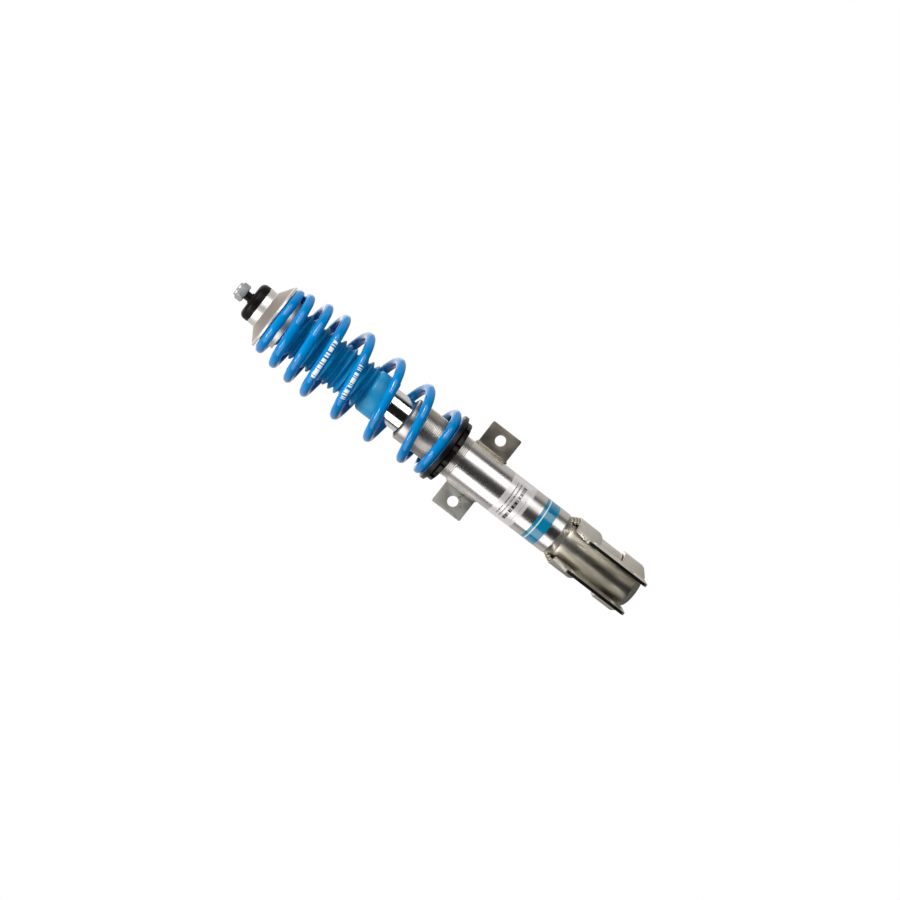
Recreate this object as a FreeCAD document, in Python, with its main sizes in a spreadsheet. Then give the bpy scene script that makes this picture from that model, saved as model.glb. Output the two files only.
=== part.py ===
"""Coil-over suspension strut of the inverted single-tube kind, in its own frame.

+Z runs up the strut's axis, from the closed foot of the outer tube to the top stud, and the
origin is the centre of the foot's flat face. The two ears that clamp the wheel knuckle point
to -Y, and the two tabs for the stabiliser link and the brake hose stand out along X.

How it comes apart, from the foot up:
  housing      outer tube, base, knuckle bracket, tab bracket, guide bushes, wiper, the fixed
               piston rod with its piston and valve discs, bump stop, labels
  perch        spring perch, slip washer and the coil spring that stands on it
  ring         adjusting ring on the tube's thread, with its locking screw
  upper_seat   upper spring seat, lower half of the thrust bearing, dust boot
  damper       bright damper tube, top stud, nut, bearing cap, rod guide and seal
  float        piston that floats between oil and gas inside the damper tube
"""

import math
import os
import re

import FreeCAD
import Part
import Sketcher

# Every driving dimension in millimetres, as (alias, value, meaning).
DIMENSIONS = [
    ("tube_radius", 26.0, "outer tube, outside radius"),
    ("tube_bore", 23.0, "outer tube, inside radius"),
    ("tube_top", 319.5, "height of the outer tube's mouth"),
    ("tube_end", 10.0, "height where the tube meets its welded base"),
    ("foot_radius", 23.2, "swaged foot of the tube, outside radius"),
    ("foot_bore", 20.6, "swaged foot of the tube, inside radius"),
    ("swage_low", 101.0, "where the swage starts"),
    ("swage_high", 110.0, "where the swage ends"),
    ("mouth_chamfer", 1.2, "chamfer on the tube's mouth"),
    ("thread_low", 246.0, "lowest turn of the height thread"),
    ("thread_pitch", 2.0, "pitch of the height thread"),
    ("thread_turns", 31.0, "turns of the height thread"),
    ("thread_depth", 0.9, "depth of the height thread"),
    ("base_round", 9.0, "rounding of the base's outer corner"),
    ("base_thick", 13.0, "height of the base's inner face"),
    ("base_web", 8.0, "height of the base's web above the bolt recess"),
    ("recess_radius", 11.2, "bolt recess in the base"),
    ("plug_thick", 1.2, "thickness of the recess plug"),
    ("bolt_radius", 5.0, "foot bolt, shank radius"),
    ("bolt_hole", 6.3, "clearance hole for the foot bolt"),
    ("bolt_head_flat", 16.0, "foot bolt head, across flats"),
    ("bolt_head_low", 1.8, "underside of the foot bolt's head"),
    ("washer_thick", 1.2, "foot bolt washer"),
    ("bolt_reach", 30.0, "height that the foot bolt reaches in the rod"),
    ("sheet_thick", 3.5, "pressed steel of both brackets"),
    ("knuckle_low", 4.0, "lower edge of the knuckle bracket"),
    ("knuckle_high", 97.0, "upper edge of the knuckle bracket"),
    ("ear_gap_half", 18.0, "half of the gap between the ears"),
    ("ear_reach", 57.0, "how far the ears reach from the axis"),
    ("ear_shoulder", 85.0, "height of the ears' outer top corner"),
    ("ear_root", 24.0, "where an ear leaves the bulged side, from the axis"),
    ("ear_round", 6.0, "rounding of the ears' outer corners"),
    ("bulge_reach", 30.2, "outside of the bulged sides, from the axis"),
    ("bulge_flat_half", 8.5, "half width of the flat on a bulged side"),
    ("bulge_low_top", 35.0, "top of the lower bulge"),
    ("bulge_high_low", 66.0, "bottom of the upper bulge"),
    ("bolt_line", 43.0, "knuckle bolt holes, distance from the axis"),
    ("knuckle_hole", 6.25, "knuckle bolt hole radius"),
    ("knuckle_hole_low", 22.0, "height of the lower knuckle bolt"),
    ("knuckle_hole_pitch", 56.0, "distance between the knuckle bolts"),
    ("tab_low", 201.0, "lower edge of the tabs"),
    ("tab_height", 39.0, "height of the tabs"),
    ("tab_reach", 56.3, "how far the tabs reach from the axis"),
    ("tab_hole_reach", 42.8, "tab holes, distance from the axis"),
    ("tab_hole", 6.25, "tab hole radius"),
    ("tab_face", 8.0, "front face of the tabs, behind the axis"),
    ("strap_extra", 1.5, "how much taller the strap is than the tabs, each way"),
    ("bend_radius", 6.0, "bend between strap and tab"),
    ("tab_corner", 1.6, "rounding of the tabs' outer corners"),
    ("damper_radius", 20.0, "bright damper tube, outside radius"),
    ("damper_bore", 18.0, "bright damper tube, inside radius"),
    ("damper_low", 162.0, "lower end of the damper tube"),
    ("damper_high", 490.0, "upper end of the damper tube"),
    ("slide_gap", 0.06, "running clearance of sliding and turning fits"),
    ("bush_low", 175.0, "lower guide bush, bottom"),
    ("bush_height", 25.0, "height of a guide bush"),
    ("bush_high_low", 288.0, "upper guide bush, bottom"),
    ("wiper_low", 314.0, "wiper seal, bottom"),
    ("wiper_high", 320.5, "wiper seal, lip"),
    ("rod_radius", 7.0, "piston rod radius"),
    ("rod_shoulder", 181.0, "shoulder under the piston"),
    ("rod_neck", 5.0, "threaded neck above the shoulder"),
    ("rod_top", 207.0, "top of the rod"),
    ("disc_thick", 1.5, "thickness of a stack of valve discs"),
    ("piston_height", 14.0, "height of the piston"),
    ("piston_radius", 17.5, "radius of the piston"),
    ("band_height", 7.0, "height of the piston band"),
    ("band_depth", 1.0, "depth of the piston's band groove"),
    ("port_radius", 1.6, "radius of a piston port"),
    ("port_circle", 11.8, "radius of the circle of ports"),
    ("port_count", 8.0, "number of piston ports"),
    ("nut_height", 7.0, "height of the piston nut"),
    ("piston_nut_flat", 15.0, "piston nut, across flats"),
    ("bump_high", 50.0, "top of the bump stop"),
    ("bump_radius", 16.0, "bump stop, widest radius"),
    ("bump_waist", 13.2, "bump stop, waist radius"),
    ("bump_nose", 12.0, "bump stop, nose radius"),
    ("bump_fold", 4.4, "height of each slope and land of the bump stop"),
    ("bump_washer", 2.0, "thickness of the bump stop's washer"),
    ("guide_low", 165.0, "rod guide, bottom"),
    ("guide_high", 177.0, "rod guide, top"),
    ("seal_radius", 12.0, "rod seal, outside radius"),
    ("seal_height", 5.0, "height of the rod seal"),
    ("buffer_height", 3.5, "height of the rebound buffer"),
    ("float_low", 340.0, "floating piston, bottom"),
    ("float_height", 16.0, "height of the floating piston"),
    ("float_cup", 13.0, "radius of the floating piston's cup"),
    ("ring_section", 1.8, "section of the floating piston's seal"),
    ("pin_plug_low", 478.0, "bottom of the stud's plug in the damper tube"),
    ("pin_flange_high", 496.0, "top of the stud's flange"),
    ("pin_radius", 7.0, "stud's plain shank"),
    ("pin_shank_high", 529.5, "top of the plain shank"),
    ("stud_radius", 5.0, "stud's thread radius"),
    ("stud_top", 549.6, "top of the stud"),
    ("spacer_radius", 15.0, "spacer under the upper seat"),
    ("spacer_high", 504.7, "top of the spacer"),
    ("nut_low", 539.0, "underside of the top nut"),
    ("nut_hex_high", 548.4, "top of the top nut's hexagon"),
    ("nut_high", 551.0, "top of the top nut's collar"),
    ("nut_flat", 18.0, "top nut, across flats"),
    ("nut_collar", 8.0, "radius of the top nut's collar"),
    ("seat_rim", 39.7, "upper seat, rim radius"),
    ("seat_rim_low", 499.1, "face that the spring pushes on"),
    ("seat_rim_high", 501.4, "top of the rim"),
    ("seat_collar", 22.35, "upper seat, collar radius"),
    ("seat_collar_low", 512.6, "where the cone meets the collar"),
    ("seat_top", 520.6, "top of the collar"),
    ("seat_web_low", 505.0, "underside of the upper seat's web"),
    ("seat_bore", 7.3, "upper seat's bore"),
    ("seat_guide", 29.4, "spring guide under the seat, outside radius"),
    ("seat_guide_low", 481.8, "lower edge of the spring guide"),
    ("seat_cavity", 27.4, "cavity inside the spring guide"),
    ("race_low", 518.0, "underside of the lower bearing race"),
    ("race_height", 3.9, "height of a bearing race"),
    ("race_inner", 11.0, "bearing race, inside radius"),
    ("race_outer", 19.5, "bearing race, outside radius"),
    ("ball_circle", 15.3, "circle of the balls"),
    ("ball_radius", 2.0, "radius of a ball"),
    ("ball_height", 523.15, "height of the balls' centres"),
    ("ball_count", 18.0, "number of balls"),
    ("cap_low", 520.9, "lower edge of the bearing cap"),
    ("cap_radius", 22.3, "bearing cap, outside radius"),
    ("cap_cavity", 20.0, "bearing cap, cavity radius"),
    ("cap_roof", 528.3, "roof of the cap's cavity"),
    ("cap_high", 532.3, "top of the bearing cap"),
    ("cap_round", 6.6, "rounding of the cap's shoulder"),
    ("cap_neck", 533.6, "top of the cap's neck"),
    ("boot_low", 346.4, "lower end of the dust boot"),
    ("boot_high", 489.0, "upper end of the dust boot"),
    ("boot_sleeve", 26.0, "plain sleeve of the boot, outside radius"),
    ("boot_sleeve_high", 373.0, "top of the plain sleeve"),
    ("boot_tip", 27.2, "tips of the folds"),
    ("boot_valley", 22.1, "valleys between the folds"),
    ("boot_wall", 1.1, "wall of the boot"),
    ("fold_pitch", 7.6, "pitch of the folds"),
    ("fold_count", 14.0, "number of folds"),
    ("perch_low", 262.0, "underside of the spring perch"),
    ("perch_high", 269.0, "face that the spring stands on"),
    ("perch_radius", 42.0, "spring perch radius"),
    ("perch_bore", 26.4, "spring perch, bore"),
    ("perch_guide", 30.2, "spring guide on the perch, radius"),
    ("perch_guide_high", 274.4, "top of the spring guide on the perch"),
    ("slip_thick", 0.8, "thickness of the slip washer"),
    ("slip_radius", 39.0, "radius of the slip washer"),
    ("ring_low", 255.0, "underside of the adjusting ring"),
    ("ring_high", 261.8, "top of the adjusting ring"),
    ("ring_radius", 37.7, "adjusting ring radius"),
    ("ring_bore", 26.06, "adjusting ring bore"),
    ("slot_count", 10.0, "spanner slots in the adjusting ring"),
    ("slot_width", 7.0, "width of a spanner slot"),
    ("slot_depth", 3.2, "depth of a spanner slot"),
    ("screw_radius", 2.2, "locking screw radius"),
    ("wire_radius", 5.5, "spring wire radius"),
    ("coil_end", 36.1, "radius of the end coils, to the wire's centre"),
    ("coil_swell", 9.6, "how much the middle coils are wider"),
    ("coil_top", 493.4, "height of the top coil's centre"),
    ("label_thick", 0.15, "thickness of the labels"),
    ("data_low", 156.3, "silver label, lower edge"),
    ("data_height", 30.5, "height of the silver label"),
    ("band_low", 123.2, "blue band, lower edge"),
    ("band_tall", 17.3, "height of the blue band"),
    ("seat_rise", 506.9, "height of the cone's bend"),
    ("seat_swell", 31.0, "radius of the cone's bend"),
    ("rim_round", 1.0, "rounding of the rim's upper edge"),
    ("seat_throat", 496.5, "where the cavity starts to close"),
    ("spring_pitch", 22.2, "pitch of the upper turns"),
]
SIZE = {alias: value for alias, value, _ in DIMENSIONS}

# Turns are counted down the wire from the top coil's right side.
COIL_START = -0.3
COIL_LIFT = 0.47
COIL_WIDEN = 3.5
COIL_LAND = 6.98
COIL_END = 7.85
POINTS_PER_TURN = 12

doc = FreeCAD.newDocument("strut")
sheet = doc.addObject("Spreadsheet::Sheet", "dims")
for row, (alias, value, meaning) in enumerate(DIMENSIONS, start=1):
    sheet.set(f"A{row}", alias)
    sheet.set(f"B{row}", str(value))
    sheet.set(f"C{row}", meaning)
    sheet.setAlias(f"B{row}", alias)
doc.recompute()

subparts = []


def formula(text):
    """The text with every alias written as a cell of the sheet."""
    return re.sub(r"[a-z][a-z_]+", lambda m: "dims." + m[0] if m[0] in SIZE else m[0], str(text))


def number(text):
    """What a formula comes to, in millimetres."""
    plain = re.sub(r"[a-z][a-z_]+", lambda m: str(SIZE[m[0]]), str(text))
    return FreeCAD.Units.parseQuantity(plain).Value


def body_named(label):
    """A new body that becomes the sub-part of this name."""
    body = doc.addObject("PartDesign::Body", "body_" + label)
    body.Label = label
    subparts.append(body)
    return body


def plane_sketch(body, role, offset):
    """An empty sketch on one of the body's own planes, moved along the plane's normal."""
    plane = next(item for item in body.Origin.OriginFeatures if item.Role == role)
    sketch = body.newObject("Sketcher::SketchObject", "sketch_" + body.Label)
    sketch.AttachmentSupport = (plane, [""])
    sketch.MapMode = "FlatFace"
    sketch.setExpression("AttachmentOffset.Base.z", formula(offset))
    return sketch


def pin(sketch, geometry, spot, across, up):
    """Holds one point of the sketch at two formulas."""
    for kind, axis, text in (("DistanceX", -2, across), ("DistanceY", -1, up)):
        value = number(text)
        if abs(value) < 1e-9:
            sketch.addConstraint(Sketcher.Constraint("PointOnObject", geometry, spot, axis))
            continue
        index = sketch.addConstraint(Sketcher.Constraint(kind, -1, 1, geometry, spot, value))
        sketch.setExpression(f"Constraints[{index}]", formula(text))


def outline(body, points, role="XZ_Plane", offset="0"):
    """A sketch of straight runs through the points, each point following the sheet."""
    sketch = plane_sketch(body, role, offset)
    spots = [FreeCAD.Vector(number(across), number(up), 0) for across, up in points]
    for here, there in zip(spots, spots[1:] + spots[:1]):
        sketch.addGeometry(Part.LineSegment(here, there), False)
    for index in range(len(spots)):
        sketch.addConstraint(Sketcher.Constraint("Coincident", index, 2, (index + 1) % len(spots), 1))
    for index, (across, up) in enumerate(points):
        pin(sketch, index, 1, across, up)
    return sketch


def circles(body, rounds, role="XY_Plane", offset="0"):
    """A sketch of circles, each given as (across, up, radius)."""
    sketch = plane_sketch(body, role, offset)
    for across, up, radius in rounds:
        centre = FreeCAD.Vector(number(across), number(up), 0)
        index = sketch.addGeometry(Part.Circle(centre, FreeCAD.Vector(0, 0, 1), number(radius)), False)
        pin(sketch, index, 3, across, up)
        size = sketch.addConstraint(Sketcher.Constraint("Radius", index, number(radius)))
        sketch.setExpression(f"Constraints[{size}]", formula(radius))
    return sketch


def box_points(left, right, low, high):
    """The four corners of an upright rectangle."""
    return [(left, low), (right, low), (right, high), (left, high)]


def hexagon(flats):
    """The corners of a hexagon, from its size across flats."""
    reach = 0.5 / math.cos(math.pi / 6)
    corners = []
    for k in range(6):
        turn = math.radians(60 * k)
        corners.append((f"{flats} * {reach * math.cos(turn):.6f}", f"{flats} * {reach * math.sin(turn):.6f}"))
    return corners


def feature(body, kind, sketch, **settings):
    """A feature made from a sketch; formulas are bound, other settings are set."""
    item = body.newObject("PartDesign::" + kind, kind.lower() + "_" + body.Label)
    item.Profile = sketch
    for name, value in settings.items():
        if name == "Length":
            item.setExpression("Length", formula(value))
        else:
            setattr(item, name, value)
    sketch.Visibility = False
    body.Tip = item
    return item


def turn(body, points, kind="Revolution", **settings):
    """The profile turned about +Z: radius first, then height."""
    sketch = outline(body, points)
    return feature(body, kind, sketch, ReferenceAxis=(sketch, ["V_Axis"]), **settings)


def around(body, item, sketch, axis, count):
    """The feature repeated evenly around the axis."""
    pattern = body.newObject("PartDesign::PolarPattern", "pattern_" + body.Label)
    pattern.Originals = [item]
    pattern.Axis = (sketch, [axis])
    pattern.Angle = 360
    pattern.setExpression("Occurrences", formula(count))
    body.Tip = pattern
    return pattern


def round_edges(body, radius, wanted):
    """Rounds the edges of the body's tip that `wanted` picks."""
    doc.recompute()
    base = body.Tip
    names = [f"Edge{i}" for i, edge in enumerate(base.Shape.Edges, start=1) if wanted(edge)]
    item = body.newObject("PartDesign::Fillet", "fillet_" + body.Label)
    item.Base = (base, names)
    item.setExpression("Radius", formula(radius))
    body.Tip = item
    return item


def is_circle(edge, radius, height):
    """True for a whole circle of this radius at this height."""
    if not isinstance(edge.Curve, Part.Circle):
        return False
    return abs(edge.Curve.Radius - radius) < 0.01 and abs(edge.Curve.Center.z - height) < 0.01


def turned(label, points):
    """A sub-part that is one turned profile."""
    body = body_named(label)
    turn(body, points)
    return body


def sleeve(label, inner, outer, low, high):
    """A sub-part that is one plain ring."""
    return turned(label, box_points(inner, outer, low, high))


def housing_tube():
    body = turned("housing_tube", [
        ("foot_bore", "tube_end"), ("foot_radius", "tube_end"), ("foot_radius", "swage_low"),
        ("tube_radius", "swage_high"), ("tube_radius", "tube_top - mouth_chamfer"),
        ("tube_radius - mouth_chamfer", "tube_top"), ("tube_bore", "tube_top"),
        ("tube_bore", "swage_high"), ("foot_bore", "swage_low")])
    sketch = outline(body, [
        ("tube_radius - thread_depth", "thread_low"),
        ("tube_radius + 0.4 * thread_depth", "thread_low - 0.45 * thread_pitch"),
        ("tube_radius + 0.4 * thread_depth", "thread_low + 0.45 * thread_pitch")])
    groove = feature(body, "Groove", sketch, ReferenceAxis=(sketch, ["V_Axis"]))
    thread = body.newObject("PartDesign::LinearPattern", "thread_" + body.Label)
    thread.Originals = [groove]
    thread.Direction = (sketch, ["V_Axis"])
    thread.setExpression("Length", formula("thread_pitch * (thread_turns - 1)"))
    thread.setExpression("Occurrences", formula("thread_turns"))
    body.Tip = thread


def housing_base():
    body = turned("housing_base", [
        ("recess_radius", "0"), ("foot_radius", "0"), ("foot_radius", "tube_end"),
        ("foot_bore", "tube_end"), ("foot_bore", "base_thick"), ("bolt_hole", "base_thick"),
        ("bolt_hole", "base_web"), ("recess_radius", "base_web")])
    round_edges(body, "base_round", lambda edge: is_circle(edge, SIZE["foot_radius"], 0))


def foot_parts():
    """The bolt that holds the rod to the base, its washer, and the plug that hides both."""
    body = body_named("foot_bolt")
    head = outline(body, hexagon("bolt_head_flat"), "XY_Plane", "bolt_head_low")
    feature(body, "Pad", head, Length="base_web - washer_thick - bolt_head_low")
    shank = circles(body, [("0", "0", "bolt_radius")], offset="base_web - washer_thick")
    feature(body, "Pad", shank, Length="bolt_reach - base_web + washer_thick")
    sleeve("foot_washer", "bolt_radius", "recess_radius - 1", "base_web - washer_thick", "base_web")
    plug = body_named("recess_plug")
    disc = circles(plug, [("0", "0", "recess_radius")])
    feature(plug, "Pad", disc, Length="plug_thick")


def mirrored(points):
    """The same points on the other side, in order for a closed outline."""
    return [(f"-1 * ({across})", up) for across, up in points]


def bulge(body, low, high):
    """One band of the bracket's sides, pressed outwards: a block, hollowed by the sheet's thickness."""
    outer = [("ear_gap_half + sheet_thick", "-1 * ear_root"), ("bulge_reach", "-1 * bulge_flat_half"),
             ("bulge_reach", "bulge_flat_half"), ("bulge_flat_half", "foot_radius")]
    for side in (outer, mirrored(outer)):
        points = side + [(f"0.2 * ({side[0][0]})", "0")]
        block = outline(body, points, "XY_Plane", low)
        feature(body, "Pad", block, Length=f"{high} - {low}")


def knuckle_bracket():
    body = body_named("knuckle_bracket")
    height = "knuckle_high - knuckle_low"
    wrap = circles(body, [("0", "0", "foot_radius + sheet_thick")], offset="knuckle_low")
    feature(body, "Pad", wrap, Length=height)
    reach = "ear_gap_half + sheet_thick"
    ears = outline(body, box_points(f"-1 * ({reach})", reach, "-1 * ear_reach", "0"), "XY_Plane", "knuckle_low")
    feature(body, "Pad", ears, Length=height)
    bulge(body, "knuckle_low", "bulge_low_top")
    bulge(body, "bulge_high_low", "knuckle_high")
    inner_reach = "(bulge_reach - sheet_thick)"
    for low, high in (("knuckle_low", "bulge_low_top"), ("bulge_high_low", "knuckle_high")):
        hollow = outline(body, [
            ("ear_gap_half", "-1 * ear_root + 2"), (inner_reach, "-1 * bulge_flat_half + 1"),
            (inner_reach, "bulge_flat_half - 1"), ("0", "foot_radius - 1"),
            (f"-1 * {inner_reach}", "bulge_flat_half - 1"), (f"-1 * {inner_reach}", "-1 * bulge_flat_half + 1"),
            ("-1 * ear_gap_half", "-1 * ear_root + 2")], "XY_Plane", f"{high} + 1")
        feature(body, "Pocket", hollow, Length=f"{high} - {low} + 2")
    bore = circles(body, [("0", "0", "foot_radius")], offset="knuckle_high + 1")
    feature(body, "Pocket", bore, Length=f"{height} + 2")
    mouth = outline(body, box_points("-1 * ear_gap_half", "ear_gap_half", "-1 * ear_reach - 1", "0"),
                    "XY_Plane", "knuckle_high + 1")
    feature(body, "Pocket", mouth, Length=f"{height} + 2")
    # The ears' upper corner slopes down to the shoulder.
    slope = outline(body, [("-1 * ear_root", "knuckle_high + 2"), ("-1 * ear_reach - 2", "knuckle_high + 2"),
                           ("-1 * ear_reach - 2", "ear_shoulder")], "YZ_Plane", "0")
    feature(body, "Pocket", slope, Type="ThroughAll", SideType="Symmetric")
    holes = circles(body, [("-1 * bolt_line", "knuckle_hole_low", "knuckle_hole"),
                           ("-1 * bolt_line", "knuckle_hole_low + knuckle_hole_pitch", "knuckle_hole")],
                    "YZ_Plane")
    feature(body, "Pocket", holes, Type="ThroughAll", SideType="Symmetric")
    lean = [("bulge_reach + 1", "knuckle_low - 1"), ("bulge_reach + 1", "knuckle_low + 5.5"),
            (f"{reach} + 0.3", "knuckle_low - 1")]
    taper = [("bulge_reach + 1", "bulge_high_low - 1"), ("bulge_reach + 1", "bulge_high_low + 4.4"),
             ("foot_radius + sheet_thick", "bulge_high_low - 1")]
    for corner in (lean, mirrored(lean), taper, mirrored(taper)):
        cut = outline(body, corner)
        feature(body, "Pocket", cut, Type="ThroughAll", SideType="Symmetric")
    round_edges(body, "ear_round", is_ear_corner)


def is_ear_corner(edge):
    """True for the ears' two outer corners, which run along X."""
    box = edge.BoundBox
    outermost = abs(box.YMin + SIZE["ear_reach"]) < 0.01 and box.YLength < 0.01
    return outermost and box.ZLength < 0.01 and box.XLength > 1


def knuckle_welds():
    """Beads that close the gap between the bracket's upper edge and the tube, one each side."""
    body = body_named("knuckle_welds")
    rise = "(0.75 * (swage_high - swage_low))"
    item = turn(body, [
        ("foot_radius", "knuckle_high"), ("foot_radius", "swage_low"),
        ("foot_radius + 0.75 * (tube_radius - foot_radius)", f"swage_low + {rise}"),
        ("bulge_reach - 0.8", "knuckle_high + 1.6"), ("bulge_reach - 0.4", "knuckle_high")],
        Angle=56, Midplane=True)
    around(body, item, item.Profile[0], "V_Axis", "2")


def tab_bracket():
    body = body_named("tab_bracket")
    low = "tab_low - strap_extra"
    strap_height = "tab_height + 2 * strap_extra"
    strap = circles(body, [("0", "0", "tube_radius + sheet_thick")], offset=low)
    feature(body, "Pad", strap, Length=strap_height)
    front = outline(body, box_points("-1 * tab_reach", "tab_reach", "-1 * tab_reach", "tab_face"),
                    "XY_Plane", f"{low} + {strap_height} + 1")
    feature(body, "Pocket", front, Length=f"{strap_height} + 2")
    plates = outline(body, box_points("-1 * tab_reach", "tab_reach", "tab_face", "tab_face + sheet_thick"),
                     "XY_Plane", "tab_low")
    feature(body, "Pad", plates, Length="tab_height")
    bore = circles(body, [("0", "0", "tube_radius")], offset=f"{low} + {strap_height} + 1")
    feature(body, "Pocket", bore, Length=f"{strap_height} + 2")
    holes = circles(body, [(f"{side} * tab_hole_reach", "tab_low + 0.5 * tab_height", "tab_hole")
                           for side in (-1, 1)], "XZ_Plane")
    feature(body, "Pocket", holes, Type="ThroughAll", SideType="Symmetric")
    round_edges(body, "tab_corner", is_tab_corner)
    round_edges(body, "bend_radius", is_strap_edge)


def is_strap_edge(edge):
    """True for the two upright edges where the strap's front face meets the tube."""
    box = edge.BoundBox
    return box.ZLength > SIZE["tab_height"] and abs(box.YMin - SIZE["tab_face"]) < 0.01 and box.YLength < 0.01


def is_tab_corner(edge):
    """True for the tabs' outer corners, which run along Y."""
    box = edge.BoundBox
    outermost = abs(max(box.XMax, -box.XMin) - SIZE["tab_reach"]) < 0.01 and box.XLength < 0.01
    return outermost and box.ZLength < 0.01 and box.YLength > 1


def tab_welds():
    """A bead down each front edge of the strap."""
    body = body_named("tab_welds")
    crevice = math.sqrt(SIZE["tube_radius"] ** 2 - SIZE["tab_face"] ** 2)
    bead = [(f"{crevice + 0.6:.2f}", "tab_face - 1.8"), (f"{crevice + 1.9:.2f}", "tab_face - 1.5"),
            (f"{crevice + 2.3:.2f}", "tab_face - 0.1"), (f"{crevice + 0.5:.2f}", "tab_face + 0.2"),
            (f"{crevice - 0.54:.2f}", "tab_face + 1.8"), (f"{crevice + 0.04:.2f}", "tab_face")]
    for side in (bead, mirrored(bead)):
        sketch = outline(body, side, "XY_Plane", "tab_low + 1.5")
        feature(body, "Pad", sketch, Length="tab_height - 3")


def guides():
    sleeve("lower_guide_bush", "damper_radius + slide_gap", "tube_bore", "bush_low", "bush_low + bush_height")
    sleeve("upper_guide_bush", "damper_radius + slide_gap", "tube_bore", "bush_high_low",
           "bush_high_low + bush_height")
    turned("wiper_seal", [
        ("damper_radius + slide_gap", "wiper_low"), ("tube_bore", "wiper_low"), ("tube_bore", "tube_top"),
        ("tube_bore - 0.8", "wiper_high"), ("damper_radius + slide_gap", "wiper_high")])


def rod_parts():
    turned("piston_rod", [
        ("bolt_radius", "base_thick"), ("rod_radius", "base_thick"), ("rod_radius", "rod_shoulder"),
        ("rod_neck", "rod_shoulder"), ("rod_neck", "rod_top"), ("0", "rod_top"), ("0", "bolt_reach"),
        ("bolt_radius", "bolt_reach")])
    sleeve("bump_washer", "rod_radius", "bump_radius", "base_thick", "base_thick + bump_washer")
    foot = "base_thick + bump_washer"
    turned("bump_stop", [
        ("rod_radius", foot), ("bump_radius", foot), ("bump_radius", f"{foot} + bump_fold * 2"),
        ("bump_waist", f"{foot} + bump_fold * 3"), ("bump_radius - 1", f"{foot} + bump_fold * 4"),
        ("bump_radius - 1", f"{foot} + bump_fold * 5"), ("bump_waist - 1", f"{foot} + bump_fold * 6"),
        ("bump_nose", "bump_high - 3"), ("bump_nose - 2", "bump_high"), ("rod_radius", "bump_high")])
    sleeve("lower_valve_discs", "rod_neck", "piston_radius - 4", "rod_shoulder", "rod_shoulder + disc_thick")
    piston()
    top = "rod_shoulder + disc_thick + piston_height"
    sleeve("upper_valve_discs", "rod_neck", "piston_radius - 5", top, f"{top} + disc_thick")
    nut = body_named("piston_nut")
    corners = outline(nut, hexagon("piston_nut_flat"), "XY_Plane", f"{top} + disc_thick")
    feature(nut, "Pad", corners, Length="nut_height")
    bore = circles(nut, [("0", "0", "rod_neck")], offset=f"{top} + disc_thick + nut_height + 1")
    feature(nut, "Pocket", bore, Length="nut_height + 2")


def piston():
    low = "rod_shoulder + disc_thick"
    middle = "rod_shoulder + disc_thick + 0.5 * piston_height"
    body = turned("piston", [
        ("rod_neck", low), ("piston_radius", low), ("piston_radius", f"{middle} - 0.5 * band_height"),
        ("piston_radius - band_depth", f"{middle} - 0.5 * band_height"),
        ("piston_radius - band_depth", f"{middle} + 0.5 * band_height"),
        ("piston_radius", f"{middle} + 0.5 * band_height"), ("piston_radius", f"{low} + piston_height"),
        ("rod_neck", f"{low} + piston_height")])
    port = circles(body, [("port_circle", "0", "port_radius")], offset=f"{low} + piston_height + 1")
    item = feature(body, "Pocket", port, Length="piston_height + 2")
    around(body, item, port, "N_Axis", "port_count")
    sleeve("piston_band", "piston_radius - band_depth", "damper_bore - slide_gap",
           f"{middle} - 0.5 * band_height", f"{middle} + 0.5 * band_height")


def labels():
    sleeve("data_label", "tube_radius", "tube_radius + label_thick", "data_low", "data_low + data_height")
    sleeve("band_label", "tube_radius", "tube_radius + label_thick", "band_low", "band_low + band_tall")


def perch_parts():
    turned("spring_perch", [
        ("perch_bore", "perch_low"), ("perch_radius - 4.2", "perch_low"), ("perch_radius", "perch_low + 1.8"),
        ("perch_radius", "perch_high - 0.8"), ("perch_radius - 0.8", "perch_high"),
        ("perch_guide", "perch_high"), ("perch_guide", "perch_guide_high - 0.8"),
        ("perch_guide - 0.8", "perch_guide_high"), ("perch_bore", "perch_guide_high")])
    sleeve("slip_washer", "perch_guide + 0.3", "slip_radius", "perch_high", "perch_high + slip_thick")


def adjuster():
    body = turned("adjusting_ring", [
        ("ring_bore", "ring_low"), ("ring_radius - 4.2", "ring_low"), ("ring_radius", "ring_low + 1.4"),
        ("ring_radius", "ring_high - 0.6"), ("ring_radius - 0.6", "ring_high"), ("ring_bore", "ring_high")])
    slot = outline(body, box_points("ring_radius - slot_depth", "ring_radius + 2", "-0.5 * slot_width",
                                    "0.5 * slot_width"), "XY_Plane", "ring_high + 1")
    item = feature(body, "Pocket", slot, Length="ring_high - ring_low + 2")
    around(body, item, slot, "N_Axis", "slot_count")
    middle = "0.5 * (ring_low + ring_high)"
    hole = circles(body, [("0", middle, "screw_radius")], "XZ_Plane", "-1 * ring_radius - 1")
    feature(body, "Pocket", hole, Length="ring_radius - ring_bore + 2", Reversed=True)
    screw = body_named("lock_screw")
    shank = circles(screw, [("0", middle, "screw_radius")], "XZ_Plane", "-1 * ring_radius + 1")
    feature(screw, "Pad", shank, Length="ring_radius - ring_bore - 1.3")


def spring_radius(turns):
    """Radius of the wire's centre line: even at the ends, barrel-shaped between."""
    share = min(max((turns - COIL_LIFT + 0.17) / (COIL_LAND - COIL_LIFT + 0.2), 0), 1)
    return SIZE["coil_end"] + SIZE["coil_swell"] * math.sin(math.pi * share)


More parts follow.
